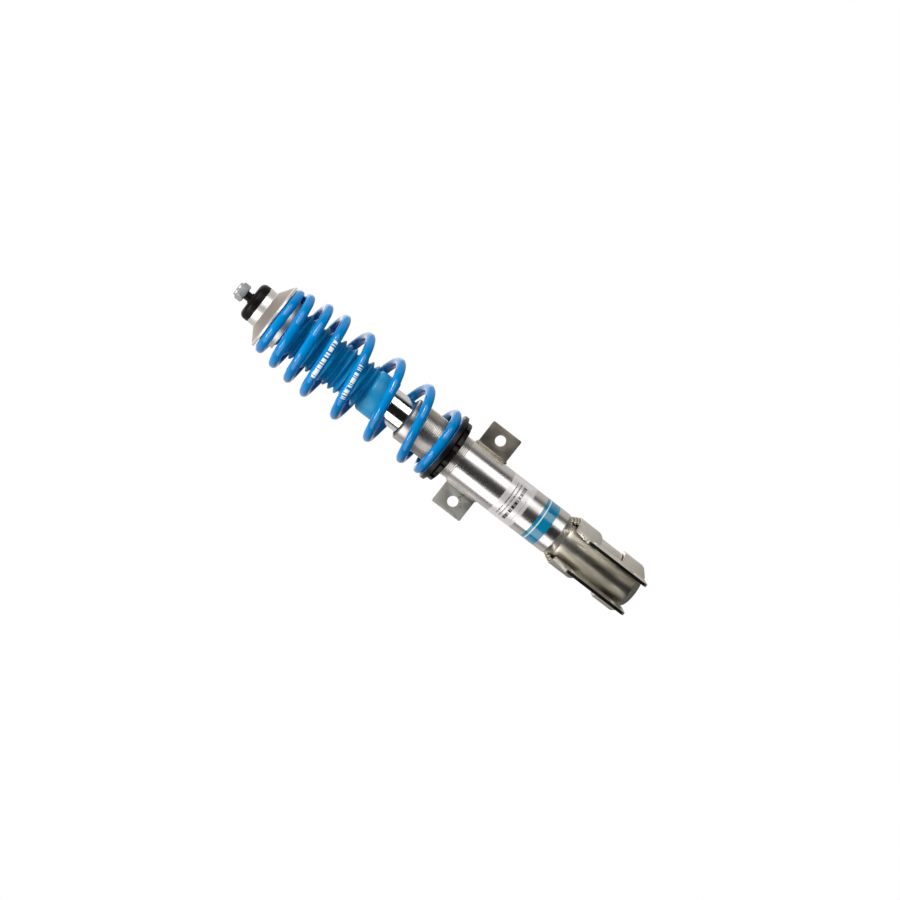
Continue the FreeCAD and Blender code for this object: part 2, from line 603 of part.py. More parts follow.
def spring_height(turns):
    """Height of the wire's centre line: flat end coils, close upper turns, open lower turns."""
    upper = SIZE["spring_pitch"]
    foot = SIZE["perch_high"] + SIZE["slip_thick"] + SIZE["wire_radius"]
    lower = (SIZE["coil_top"] - foot - upper * (COIL_WIDEN - COIL_LIFT)) / (COIL_LAND - COIL_WIDEN)
    fall = upper * min(max(turns - COIL_LIFT, 0), COIL_WIDEN - COIL_LIFT)
    fall += lower * min(max(turns - COIL_WIDEN, 0), COIL_LAND - COIL_WIDEN)
    return SIZE["coil_top"] - fall


def coil_spring():
    """The wire swept down its winding, which runs clockwise seen from above going down."""
    points = []
    count = round((COIL_END - COIL_START) * POINTS_PER_TURN)
    spread = 0.2
    for k in range(count + 1):
        turns = COIL_START + (COIL_END - COIL_START) * k / count
        angle = -2 * math.pi * turns
        radius = spring_radius(turns)
        height = sum(spring_height(turns + spread * step) for step in (-1, -0.5, 0, 0.5, 1)) / 5
        points.append(FreeCAD.Vector(radius * math.cos(angle), radius * math.sin(angle), height))
    path = Part.BSplineCurve()
    path.interpolate(points)
    start = path.tangent(path.FirstParameter)[0]
    section = Part.Wire(Part.Circle(points[0], start, SIZE["wire_radius"]).toShape())
    spring = doc.addObject("Part::Feature", "coil_spring")
    spring.Shape = Part.Wire(path.toShape()).makePipeShell([section], True, True)
    spring.Placement = FreeCAD.Placement()
    subparts.append(spring)
    print("spring bottom and top", spring.Shape.BoundBox.ZMin, spring.Shape.BoundBox.ZMax)


def upper_seat():
    body = turned("upper_spring_seat", [
        ("seat_bore", "seat_web_low"), ("seat_bore", "seat_top"), ("race_inner", "seat_top"),
        ("race_inner", "race_low"), ("race_outer", "race_low"), ("race_outer", "seat_top"),
        ("seat_collar", "seat_top"), ("seat_collar", "seat_collar_low"), ("seat_swell", "seat_rise"),
        ("seat_rim", "seat_rim_high"), ("seat_rim", "seat_rim_low"), ("seat_guide", "seat_rim_low"),
        ("seat_guide", "seat_guide_low"), ("seat_cavity", "seat_guide_low"), ("seat_cavity", "seat_throat"),
        ("spacer_radius + 4", "seat_web_low")])
    round_edges(body, "rim_round", lambda edge: is_circle(edge, SIZE["seat_rim"], SIZE["seat_rim_high"]))


def race(label, low, high):
    """One bearing race with the groove that the balls run in."""
    body = sleeve(label, "race_inner", "race_outer", low, high)
    track = circles(body, [("ball_circle", "ball_height", "ball_radius + 0.3")], "XZ_Plane")
    feature(body, "Groove", track, ReferenceAxis=(track, ["V_Axis"]))


def bearing():
    race("lower_race", "race_low", "race_low + race_height")
    race("upper_race", "cap_roof - race_height", "cap_roof")
    body = sleeve("ball_cage", "ball_circle - 2.6", "ball_circle + 2.6", "ball_height - 0.7", "ball_height + 0.7")
    ball = outline(body, [
        (f"ball_circle + ball_radius * {math.cos(math.radians(a)):.6f}",
         f"ball_height + ball_radius * {math.sin(math.radians(a)):.6f}") for a in range(-90, 91, 30)])
    item = feature(body, "Revolution", ball, ReferenceAxis=(ball, ["Edge7"]))
    around(body, item, ball, "V_Axis", "ball_count")


def dust_boot():
    """Bellows over a plain sleeve, with a cuff that holds inside the seat's spring guide."""
    outer = [("boot_sleeve", "boot_low"), ("boot_sleeve", "boot_sleeve_high - 3")]
    for k in range(int(SIZE["fold_count"])):
        outer.append(("boot_valley", f"boot_sleeve_high + fold_pitch * {k}"))
        outer.append(("boot_tip", f"boot_sleeve_high + fold_pitch * {k + 0.4:.1f}"))
        outer.append(("boot_tip", f"boot_sleeve_high + fold_pitch * {k + 0.6:.1f}"))
    outer.append(("boot_valley", "boot_sleeve_high + fold_pitch * fold_count"))
    outer.append(("seat_cavity", "seat_guide_low + 0.4"))
    outer.append(("seat_cavity", "boot_high"))
    inner = [(f"{across} - boot_wall", up) for across, up in reversed(outer)]
    turned("dust_boot", outer + inner)


def damper_parts():
    sleeve("damper_tube", "damper_bore", "damper_radius", "damper_low", "damper_high")
    turned("top_stud", [
        ("0", "pin_plug_low"), ("damper_bore", "pin_plug_low"), ("damper_bore", "damper_high"),
        ("damper_radius", "damper_high"), ("damper_radius", "pin_flange_high - 1.5"),
        ("damper_radius - 1.5", "pin_flange_high"), ("pin_radius", "pin_flange_high"),
        ("pin_radius", "pin_shank_high"), ("stud_radius", "pin_shank_high"),
        ("stud_radius", "stud_top - 1"), ("stud_radius - 1", "stud_top"), ("0", "stud_top")])
    sleeve("seat_spacer", "pin_radius", "spacer_radius", "pin_flange_high", "spacer_high")
    cap = turned("bearing_cap", [
        ("pin_radius", "cap_roof"), ("cap_cavity", "cap_roof"), ("cap_cavity", "cap_low"),
        ("cap_radius", "cap_low"), ("cap_radius", "cap_high"), ("stud_radius + 1.4", "cap_high"),
        ("stud_radius + 1.4", "cap_neck"), ("stud_radius", "cap_neck"), ("stud_radius", "pin_shank_high"),
        ("pin_radius", "pin_shank_high")])
    round_edges(cap, "cap_round", lambda edge: is_circle(edge, SIZE["cap_radius"], SIZE["cap_high"]))
    nut = body_named("top_nut")
    corners = outline(nut, hexagon("nut_flat"), "XY_Plane", "nut_low")
    feature(nut, "Pad", corners, Length="nut_hex_high - nut_low")
    collar = circles(nut, [("0", "0", "nut_collar")], offset="nut_hex_high")
    feature(nut, "Pad", collar, Length="nut_high - nut_hex_high")
    bore = circles(nut, [("0", "0", "stud_radius")], offset="nut_high + 1")
    feature(nut, "Pocket", bore, Length="nut_high - nut_low + 2")


def rod_guide():
    turned("rod_guide", [
        ("seal_radius", "guide_low"), ("damper_bore", "guide_low"), ("damper_bore", "guide_high"),
        ("rod_radius + slide_gap", "guide_high"), ("rod_radius + slide_gap", "guide_low + seal_height"),
        ("seal_radius", "guide_low + seal_height")])
    sleeve("rod_seal", "rod_radius + slide_gap", "seal_radius", "guide_low", "guide_low + seal_height")
    sleeve("guide_ring", "damper_bore - 2", "damper_bore", "guide_low - 1.6", "guide_low")
    sleeve("rebound_buffer", "rod_radius + 0.5", "seal_radius + 1", "guide_high", "guide_high + buffer_height")


def floating_piston():
    middle = "float_low + 0.5 * float_height"
    depth = "ring_section"
    turned("floating_piston", [
        ("0", "float_low"), ("damper_bore - slide_gap", "float_low"),
        ("damper_bore - slide_gap", f"{middle} - {depth}"), (f"damper_bore - {depth}", f"{middle} - {depth}"),
        (f"damper_bore - {depth}", f"{middle} + {depth}"), ("damper_bore - slide_gap", f"{middle} + {depth}"),
        ("damper_bore - slide_gap", "float_low + float_height"), ("float_cup", "float_low + float_height"),
        ("float_cup", "float_low + 4"), ("0", "float_low + 4")])
    sleeve("float_seal", f"damper_bore - {depth}", "damper_bore - slide_gap", f"{middle} - 0.8 * {depth}",
           f"{middle} + 0.8 * {depth}")


for make in (housing_tube, housing_base, foot_parts, knuckle_bracket, knuckle_welds, tab_bracket, tab_welds,
             guides, rod_parts, labels, perch_parts, adjuster, coil_spring, upper_seat, bearing, dust_boot,
             damper_parts, rod_guide, floating_piston):
    make()
doc.recompute()

for item in doc.Objects:
    if "Invalid" in item.State or "Error" in item.State:
        raise RuntimeError(f"{item.Label} did not compute: {item.State}")

os.makedirs("parts", exist_ok=True)
for item in subparts:
    shape = item.Shape
    if shape.isNull() or not shape.isValid() or len(shape.Solids) < 1:
        raise RuntimeError(f"{item.Label} is not a sound solid")
    shape.exportStep(f"parts/{item.Label}.step")
    box = shape.BoundBox
    print(f"{item.Label:20s} solids {len(shape.Solids)} volume {shape.Volume:10.1f} "
          f"x {box.XMin:7.2f} {box.XMax:7.2f} y {box.YMin:7.2f} {box.YMax:7.2f} "
          f"z {box.ZMin:7.2f} {box.ZMax:7.2f}")
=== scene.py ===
# %% [markdown]
# # A coil-over suspension strut
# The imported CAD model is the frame: every piece below is placed from its boxes, in metres, with
# +Z up the strut's axis. Pieces that CAD drew well enough stay and only get a finish. Pieces whose
# look depends on soft bends, beads or printed marks are modelled here and take their node's place.

# %% The frame and its box
import math

import bpy
from mathutils import Matrix, Vector


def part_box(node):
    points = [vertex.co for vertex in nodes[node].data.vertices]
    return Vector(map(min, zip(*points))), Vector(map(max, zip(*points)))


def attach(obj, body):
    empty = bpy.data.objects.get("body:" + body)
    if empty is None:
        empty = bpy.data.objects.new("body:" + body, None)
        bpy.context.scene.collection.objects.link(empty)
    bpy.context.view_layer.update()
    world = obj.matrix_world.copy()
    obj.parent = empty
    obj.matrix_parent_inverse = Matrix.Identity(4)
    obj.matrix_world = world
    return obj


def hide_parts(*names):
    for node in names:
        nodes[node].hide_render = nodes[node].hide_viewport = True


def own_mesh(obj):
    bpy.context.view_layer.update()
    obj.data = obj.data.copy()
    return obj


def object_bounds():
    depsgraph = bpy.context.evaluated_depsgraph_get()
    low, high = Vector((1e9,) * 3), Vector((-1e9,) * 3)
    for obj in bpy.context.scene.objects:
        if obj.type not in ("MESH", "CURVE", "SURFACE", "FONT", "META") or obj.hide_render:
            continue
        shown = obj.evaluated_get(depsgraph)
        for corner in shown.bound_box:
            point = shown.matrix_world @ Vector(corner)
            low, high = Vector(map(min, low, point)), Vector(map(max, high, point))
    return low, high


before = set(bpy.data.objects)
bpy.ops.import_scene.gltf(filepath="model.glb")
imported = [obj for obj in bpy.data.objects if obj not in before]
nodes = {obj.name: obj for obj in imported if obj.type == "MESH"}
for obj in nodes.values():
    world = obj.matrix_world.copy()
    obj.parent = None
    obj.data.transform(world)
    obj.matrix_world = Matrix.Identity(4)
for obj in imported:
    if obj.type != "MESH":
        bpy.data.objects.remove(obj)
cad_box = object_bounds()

MM = 0.001
TURN = 2 * math.pi
print("nodes", len(nodes), "box", [[round(v, 4) for v in corner] for corner in cad_box])

# %% [markdown]
# ## Small helpers
# An operator works on whatever is selected, and loading the frame leaves all of it selected. So
# every piece starts from an empty selection. A finished piece keeps its object at the origin and
# its place in its mesh, which is what `settle` does.

# %% Selecting, settling, joining and finishing


def nothing_selected():
    """Leaves edit mode and selects nothing."""
    if bpy.context.mode != "OBJECT":
        bpy.ops.object.mode_set(mode="OBJECT")
    bpy.ops.object.select_all(action="DESELECT")


def only(piece):
    """Makes one object the selected and active one."""
    nothing_selected()
    piece.select_set(True)
    bpy.context.view_layer.objects.active = piece


def settle(piece, name):
    """Names the piece and moves its place into its mesh."""
    only(piece)
    bpy.ops.object.transform_apply(location=True, rotation=True, scale=True)
    piece.name = name
    piece.data.name = name
    return piece


def modify(piece, kind, **settings):
    """Adds one modifier, sets it and applies it."""
    only(piece)
    modifier = piece.modifiers.new(kind.title(), kind)
    for name, value in settings.items():
        setattr(modifier, name, value)
    bpy.ops.object.modifier_apply(modifier=modifier.name)
    return piece


def joined(parts, name):
    """Several objects made one."""
    nothing_selected()
    for part in parts:
        part.select_set(True)
    bpy.context.view_layer.objects.active = parts[0]
    bpy.ops.object.join()
    return settle(parts[0], name)


def put_finish(piece, finish):
    """Gives the piece one material."""
    piece.data.materials.clear()
    piece.data.materials.append(finish)
    return piece


def smooth(piece, degrees):
    """Shades the piece smooth, except across edges sharper than this."""
    only(piece)
    bpy.ops.object.shade_smooth_by_angle(angle=math.radians(degrees))
    return piece


def fit_out(piece, body, replaced):
    """What every piece needs: a body to ride on and the node that it stands for."""
    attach(piece, body)
    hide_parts(replaced)
    print(piece.name, "rides", body, "with", len(piece.data.polygons), "faces")


# %% [markdown]
# Round pieces are turned, as on a lathe. The profile is drawn point by point by extruding one
# vertex, closed, and spun about the strut's axis. The spin leaves a double row where it meets
# itself, so doubles are merged before the normals are made to point outwards.

# %% Turning a profile about the axis

SAME_POINT = 1e-7
MERGE_DISTANCE = 1e-6


def lathe(name, profile, steps=96):
    """Spins a profile of (radius, height) about +Z; its two ends are joined first."""
    nothing_selected()
    bpy.ops.mesh.primitive_plane_add(size=MM, location=(0, 0, 0))
    piece = bpy.context.object
    bpy.ops.object.mode_set(mode="EDIT")
    bpy.ops.mesh.merge(type="CENTER")
    bpy.ops.transform.translate(value=(profile[0][0], 0, profile[0][1]))
    for (r0, z0), (r1, z1) in zip(profile, profile[1:]):
        bpy.ops.mesh.extrude_region_move(TRANSFORM_OT_translate={"value": (r1 - r0, 0, z1 - z0)})
    bpy.ops.mesh.select_mode(type="VERT")
    bpy.ops.mesh.select_all(action="DESELECT")
    bpy.ops.object.mode_set(mode="OBJECT")
    ends = [Vector((radius, 0, height)) for radius, height in (profile[0], profile[-1])]
    for vertex in piece.data.vertices:
        vertex.select = any((vertex.co - end).length < SAME_POINT for end in ends)
    bpy.ops.object.mode_set(mode="EDIT")
    bpy.ops.mesh.edge_face_add()
    bpy.ops.mesh.select_all(action="SELECT")
    bpy.ops.mesh.spin(steps=steps, angle=TURN, center=(0, 0, 0), axis=(0, 0, 1))
    bpy.ops.mesh.select_all(action="SELECT")
    bpy.ops.mesh.remove_doubles(threshold=MERGE_DISTANCE)
    bpy.ops.mesh.dissolve_degenerate(threshold=MERGE_DISTANCE)
    bpy.ops.mesh.normals_make_consistent(inside=False)
    bpy.ops.object.mode_set(mode="OBJECT")
    return settle(piece, name)


# %% [markdown]
# ## Finishes
# Each finish is a node material. Effects that several finishes share are node groups: built once,
# placed in each material, and fed with that material's own numbers. A group gives only masks and
# heights, so the shader itself stays in the material.

# %% Node helpers


def add(tree, kind, inputs=None, **settings):
    """One node, with its plain settings and its unlinked input values."""
    made = tree.nodes.new(kind)
    for name, value in settings.items():
        setattr(made, name, value)
    for key, value in (inputs or {}).items():
        made.inputs[key].default_value = value
    return made


def group_tree(name, inputs, outputs):
    """An empty node group with named number sockets."""
    tree = bpy.data.node_groups.new(name, "ShaderNodeTree")
    for socket, value in inputs.items():
        made = tree.interface.new_socket(name=socket, in_out="INPUT",
                                         socket_type="NodeSocketFloat")
        made.default_value = value
    for socket in outputs:
        tree.interface.new_socket(name=socket, in_out="OUTPUT", socket_type="NodeSocketFloat")
    return tree, tree.nodes.new("NodeGroupInput"), tree.nodes.new("NodeGroupOutput")


def maths(tree, kind, first, second=0.0):
    """A Math node; each operand is a socket or a number."""
    made = tree.nodes.new("ShaderNodeMath")
    made.operation = kind
    for index, value in enumerate((first, second)):
        if isinstance(value, (int, float)):
            made.inputs[index].default_value = value
        else:
            tree.links.new(value, made.inputs[index])
    return made.outputs[0]


# %% [markdown]
# **Grain** is the fine unevenness of a surface: cast, plated or moulded. It is one noise, stretched
# by three numbers, so the same group serves mottled plating, drawing lines along a tube and the
# turned lines around it.

# %% Group: grain


def grain_group():
    """Noise on Object coordinates, stretched along each axis."""
    settings = {"Across": 300.0, "Along": 300.0, "Detail": 3.0, "Low": 0.35, "High": 0.65}
    tree, feed, result = group_tree("grain", settings, ["Mask"])
    place = add(tree, "ShaderNodeTexCoord").outputs["Object"]
    stretch = add(tree, "ShaderNodeCombineXYZ")
    for axis, source in (("X", "Across"), ("Y", "Across"), ("Z", "Along")):
        tree.links.new(feed.outputs[source], stretch.inputs[axis])
    mapping = add(tree, "ShaderNodeVectorMath", operation="MULTIPLY")
    tree.links.new(place, mapping.inputs[0])
    tree.links.new(stretch.outputs[0], mapping.inputs[1])
    noise = add(tree, "ShaderNodeTexNoise", {"Scale": 1.0, "Roughness": 0.55})
    tree.links.new(mapping.outputs[0], noise.inputs["Vector"])
    tree.links.new(feed.outputs["Detail"], noise.inputs["Detail"])
    spread = add(tree, "ShaderNodeMapRange")
    tree.links.new(noise.outputs[0], spread.inputs["Value"])
    tree.links.new(feed.outputs["Low"], spread.inputs["From Min"])
    tree.links.new(feed.outputs["High"], spread.inputs["From Max"])
    tree.links.new(spread.outputs[0], result.inputs["Mask"])
    return tree


GRAIN = grain_group()
print("group", GRAIN.name, [item.name for item in GRAIN.interface.items_tree])

# %% [markdown]
# **Scuffs** are the odd rubbed patch and scratch that handling leaves. Two noises multiplied give
# sparse patches with broken edges.

# %% Group: scuffs

COARSE_AND_FINE = ((1.0, 2.0), (9.0, 5.0))
CLEAN_LIMIT, LIMIT_DROP, EDGE_GAIN = 0.42, 0.2, 14.0


def scuff_group():
    """Sparse patches: a coarse noise cut by a fine one; more Amount lowers the limit."""
    tree, feed, result = group_tree("scuffs", {"Size": 60.0, "Amount": 0.5}, ["Mask"])
    place = add(tree, "ShaderNodeTexCoord").outputs["Object"]
    found = []
    for factor, detail in COARSE_AND_FINE:
        noise = add(tree, "ShaderNodeTexNoise", {"Detail": detail})
        tree.links.new(place, noise.inputs["Vector"])
        size = maths(tree, "MULTIPLY", feed.outputs["Size"], factor)
        tree.links.new(size, noise.inputs["Scale"])
        found.append(noise.outputs[0])
    both = maths(tree, "MULTIPLY", found[0], found[1])
    drop = maths(tree, "MULTIPLY", feed.outputs["Amount"], LIMIT_DROP)
    limit = maths(tree, "SUBTRACT", CLEAN_LIMIT, drop)
    over = maths(tree, "MULTIPLY", maths(tree, "SUBTRACT", both, limit), EDGE_GAIN)
    clip = add(tree, "ShaderNodeClamp")
    tree.links.new(over, clip.inputs[0])
    tree.links.new(clip.outputs[0], result.inputs["Mask"])
    return tree


SCUFFS = scuff_group()
print("group", SCUFFS.name)

# %% The material maker


def use(tree, group, **values):
    """Places a node group and sets its numbers."""
    made = tree.nodes.new("ShaderNodeGroup")
    made.node_tree = group
    for name, value in values.items():
        made.inputs[name].default_value = value
    return made.outputs[0]


def blend(tree, mask, first, second):
    """Mixes two colours by a mask; each is a socket or a colour."""
    made = tree.nodes.new("ShaderNodeMix")
    made.data_type = "RGBA"
    tree.links.new(mask, made.inputs[0])
    for index, colour in ((6, first), (7, second)):
        if isinstance(colour, tuple):
            made.inputs[index].default_value = (*colour, 1)
        else:
            tree.links.new(colour, made.inputs[index])
    return made.outputs[2]


def between(tree, mask, low, high):
    """A number that goes from low to high with the mask."""
    made = add(tree, "ShaderNodeMapRange", {"To Min": low, "To Max": high})
    tree.links.new(mask, made.inputs["Value"])
    return made.outputs[0]


def surface(tree, shader, colour, rough, height, strength, depth):
    """Feeds the shader what every finish varies: its colour, its roughness and a small height."""
    bump = add(tree, "ShaderNodeBump", {"Strength": strength, "Distance": depth})
    tree.links.new(height, bump.inputs["Height"])
    varied = {"Base Color": colour, "Roughness": rough, "Normal": bump.outputs[0]}
    for socket, source in varied.items():
        tree.links.new(source, shader.inputs[socket])


def material(name, **values):
    """An empty node material with its Principled shader, whose own sockets are set here."""
    made = bpy.data.materials.new(name)
    made.use_nodes = True
    shader = made.node_tree.nodes["Principled BSDF"]
    for socket, value in values.items():
        shader.inputs[socket.replace("_", " ")].default_value = value
    return made, made.node_tree, shader


def place_mask(tree, low, high, axis="Z"):
    """0 below `low` and 1 above `high`, measured along an axis of the strut, in millimetres."""
    place = add(tree, "ShaderNodeTexCoord").outputs["Object"]
    parts = add(tree, "ShaderNodeSeparateXYZ")
    tree.links.new(place, parts.inputs[0])
    made = add(tree, "ShaderNodeMapRange", {"From Min": low * MM, "From Max": high * MM})
    tree.links.new(parts.outputs[axis], made.inputs["Value"])
    return made.outputs[0]


# %% [markdown]
# ### Bright plated steel
# The outer tube is zinc plated over drawn steel, so it shines, with faint lines around it from the
# last turning pass. Below the bands the plating is duller and yellower. Two colours mixed by
# height, and a grain stretched around the tube, give both.

# %% Material: plated tube

BRIGHT_ZINC = ((0.78, 0.76, 0.75), (0.64, 0.61, 0.59))
DULL_ZINC = ((0.84, 0.81, 0.74), (0.70, 0.66, 0.57))
THREAD_ZINC, RUBBED_ZINC = (0.60, 0.565, 0.525), (0.40, 0.38, 0.35)
DULL_UP_TO, BRIGHT_FROM = 103.0, 112.0
PLAIN_UP_TO, THREAD_FROM = 248.0, 256.0
TUBE_ROUGH = (0.305, 0.395)
SHINE_ABOVE, THREAD_ROUGHER, RUB_ROUGHER = 0.07, 0.06, 0.12


def plated_tube():
    """Dull foot, bright tube and thread; the heights above are in millimetres."""
    made, tree, shader = material("plated_tube", Metallic=1.0)
    lines = use(tree, GRAIN, Across=40.0, Along=2600.0, Detail=2.0, Low=0.3, High=0.7)
    cloud = use(tree, GRAIN, Across=45.0, Along=22.0, Detail=4.0, Low=0.35, High=0.7)
    marks = use(tree, SCUFFS, Size=160.0, Amount=0.1)
    upper = place_mask(tree, DULL_UP_TO, BRIGHT_FROM)
    thread = place_mask(tree, PLAIN_UP_TO, THREAD_FROM)
    colour = blend(tree, upper, blend(tree, cloud, *DULL_ZINC), blend(tree, cloud, *BRIGHT_ZINC))
    colour = blend(tree, thread, colour, THREAD_ZINC)
    colour = blend(tree, marks, colour, RUBBED_ZINC)
    rough = between(tree, cloud, *TUBE_ROUGH)
    for mask, change in ((upper, -SHINE_ABOVE), (thread, THREAD_ROUGHER), (marks, RUB_ROUGHER)):
        rough = maths(tree, "ADD", rough, maths(tree, "MULTIPLY", mask, change))
    surface(tree, shader, colour, rough, lines, 0.12, 0.05 * MM)
    return made


TUBE = plated_tube()

# %% [markdown]
# ### Pressed and plated sheet
# Sheet that is pressed, welded and then plated is mottled: grey with brown and straw patches. It
# is rougher than the tube, and its scuffs are darker. Each side of the strut is turned to its own
# tone, lighter on one side and darker on the other, which is painted light and shade. The very
# front edge of a piece is painted near black, which is painted shade.

# %% Material: plated sheet

# Painted light and shade: where each side's tone takes over, and how much of it.
LEFT_FULL, LEFT_NONE, LEFT_LIGHT_SHADE_SHARE = -28.0, -22.0, 0.7
RIGHT_NONE, RIGHT_FULL, RIGHT_LIGHT_SHADE_SHARE = -4.0, 30.0, 0.8
# Painted shade: the front edge of a piece is made near black over this depth.
EDGE_SHADE_DEPTH = 1.2
STAINED, PAINTED_EDGE_SHADE = (0.32, 0.29, 0.245), (0.045, 0.043, 0.040)
SHEET_ROUGH = (0.34, 0.52)


def plated_sheet(name, light, dark, straw, left_light_and_shade, right_light_and_shade, front_edge):
    """The sides are painted light and shade: the tones the sheet turns to there; places are in
    millimetres.
    """
    made, tree, shader = material(name, Metallic=1.0)
    cloud = use(tree, GRAIN, Across=55.0, Along=40.0, Detail=5.0, Low=0.35, High=0.68)
    stain = use(tree, GRAIN, Across=24.0, Along=14.0, Detail=3.0, Low=0.5, High=0.72)
    fine = use(tree, GRAIN, Across=900.0, Along=900.0, Detail=2.0, Low=0.3, High=0.7)
    marks = use(tree, SCUFFS, Size=90.0, Amount=0.36)
    colour = blend(tree, cloud, light, dark)
    colour = blend(tree, stain, colour, straw)
    # Painted light and shade: each side of the strut is turned to its own tone, lighter on one side
    # and darker on the other.
    left = maths(tree, "SUBTRACT", 1.0, place_mask(tree, LEFT_FULL, LEFT_NONE, "X"))
    colour = blend(tree, maths(tree, "MULTIPLY", left, LEFT_LIGHT_SHADE_SHARE), colour, left_light_and_shade)
    right = place_mask(tree, RIGHT_NONE, RIGHT_FULL, "X")
    colour = blend(tree, maths(tree, "MULTIPLY", right, RIGHT_LIGHT_SHADE_SHARE), colour, right_light_and_shade)
    colour = blend(tree, marks, colour, STAINED)
    # Painted shade: near black along the piece's very front edge.
    behind = place_mask(tree, front_edge, front_edge + EDGE_SHADE_DEPTH, "Y")
    colour = blend(tree, behind, PAINTED_EDGE_SHADE, colour)
    surface(tree, shader, colour, between(tree, cloud, *SHEET_ROUGH), fine, 0.22, 0.12 * MM)
    return made


# The tabs get no painted shade on their front edge, so theirs is set clear in front of them.
ear_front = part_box("knuckle_bracket")[0].y / MM
tab_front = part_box("tab_bracket")[0].y / MM
EAR_EDGE, NO_EDGE = 0.2, -9.0
# The side colours given here are painted light and shade.
KNUCKLE_STEEL = plated_sheet(
    "knuckle_steel", light=(0.78, 0.76, 0.71), dark=(0.60, 0.57, 0.51), straw=(0.66, 0.58, 0.43),
    left_light_and_shade=(0.34, 0.32, 0.29), right_light_and_shade=(0.84, 0.81, 0.74), front_edge=ear_front + EAR_EDGE)
TAB_STEEL = plated_sheet(
    "tab_steel", light=(0.78, 0.78, 0.74), dark=(0.66, 0.655, 0.60), straw=(0.68, 0.63, 0.53),
    left_light_and_shade=(0.72, 0.70, 0.64), right_light_and_shade=(0.46, 0.41, 0.33), front_edge=tab_front + NO_EDGE)

# %% Material: plain steels, cast iron and alloy

ROUGH_SPREAD = 0.12


def plain_metal(name, light, dark, rough, lines_along):
    """Solid metal: two tones, and fine lines that run around the strut."""
    made, tree, shader = material(name, Metallic=1.0)
    cloud = use(tree, GRAIN, Across=120.0, Along=120.0, Detail=4.0, Low=0.35, High=0.65)
    lines = use(tree, GRAIN, Across=60.0, Along=lines_along, Detail=2.0, Low=0.3, High=0.7)
    surface(tree, shader, blend(tree, cloud, light, dark),
            between(tree, cloud, rough, rough + ROUGH_SPREAD), lines, 0.15, 0.06 * MM)
    return made


NUT_STEEL = plain_metal("nut_steel", (0.60, 0.61, 0.62), (0.45, 0.46, 0.47), 0.40, 1500.0)
STUD_STEEL = plain_metal("stud_steel", (0.020, 0.018, 0.016), (0.010, 0.009, 0.008), 0.35,
                         900.0)
CAST_IRON = plain_metal("cast_iron", (0.22, 0.22, 0.23), (0.14, 0.14, 0.15), 0.5, 300.0)
ALLOY = plain_metal("alloy", (0.75, 0.75, 0.76), (0.62, 0.62, 0.63), 0.3, 1200.0)
CHROME = plain_metal("hard_chrome", (0.90, 0.90, 0.92), (0.84, 0.84, 0.87), 0.045, 3000.0)

# %% [markdown]
# ### Satin spring seat
# The upper seat is turned metal with a fine satin skin. It is nearly white and a little warm, and
# its highlights are broad, so its roughness is high for a metal. The cone's skin is blasted, so it
# is darker and rougher than the turned collar, rim and spring guide.

# %% Material: satin seat

CONE_FOOT, CONE_HEAD = (501.6, 503.2), (511.6, 512.8)
SATIN, BLASTED = ((0.80, 0.765, 0.735), (0.68, 0.65, 0.62)), (0.40, 0.355, 0.32)
SATIN_ROUGH, BLASTED_ROUGHER = (0.36, 0.46), 0.12


def satin_seat():
    """Two skins: blasted between the cone's foot and head, and turned above and below."""
    made, tree, shader = material("satin_seat", Metallic=0.85)
    below_head = maths(tree, "SUBTRACT", 1.0, place_mask(tree, *CONE_HEAD))
    on_cone = maths(tree, "MULTIPLY", place_mask(tree, *CONE_FOOT), below_head)
    cloud = use(tree, GRAIN, Across=70.0, Along=70.0, Detail=4.0, Low=0.35, High=0.68)
    turned = use(tree, GRAIN, Across=20.0, Along=3200.0, Detail=2.0, Low=0.3, High=0.7)
    colour = blend(tree, on_cone, blend(tree, cloud, *SATIN), BLASTED)
    rougher = maths(tree, "MULTIPLY", on_cone, BLASTED_ROUGHER)
    rough = maths(tree, "ADD", between(tree, turned, *SATIN_ROUGH), rougher)
    surface(tree, shader, colour, rough, turned, 0.18, 0.06 * MM)
    return made


SEAT = satin_seat()

# %% [markdown]
# ### Black pieces, rubber and plastics
# Black parts are never a flat black: the anodised ring and perch keep a dull gleam and rubbed
# spots, the moulded cap is finely grained and rubber is matt. The same maker serves the foam, the
# bushes' lining and the pad, because they too are two close tones with a moulded grain.

# %% Material: blacks and plastics

RUBBED_LIGHTER = 1.8
DARK_ROUGH_SPREAD = 0.14


def dark_finish(name, light, dark, rough, grain_size, depth, metallic=0.0, ior=1.5):
    """Two dark tones with a moulded or anodised grain, paler where it is rubbed."""
    made, tree, shader = material(name, Metallic=metallic, IOR=ior)
    cloud = use(tree, GRAIN, Across=90.0, Along=90.0, Detail=4.0, Low=0.35, High=0.7)
    fine = use(tree, GRAIN, Across=grain_size, Along=grain_size, Detail=2.0, Low=0.3, High=0.7)
    marks = use(tree, SCUFFS, Size=110.0, Amount=0.4)
    colour = blend(tree, cloud, light, dark)
    rubbed = tuple(min(1.0, RUBBED_LIGHTER * part) for part in light)
    spread = between(tree, cloud, rough, rough + DARK_ROUGH_SPREAD)
    surface(tree, shader, blend(tree, marks, colour, rubbed), spread, fine, 0.25, depth)
    return made


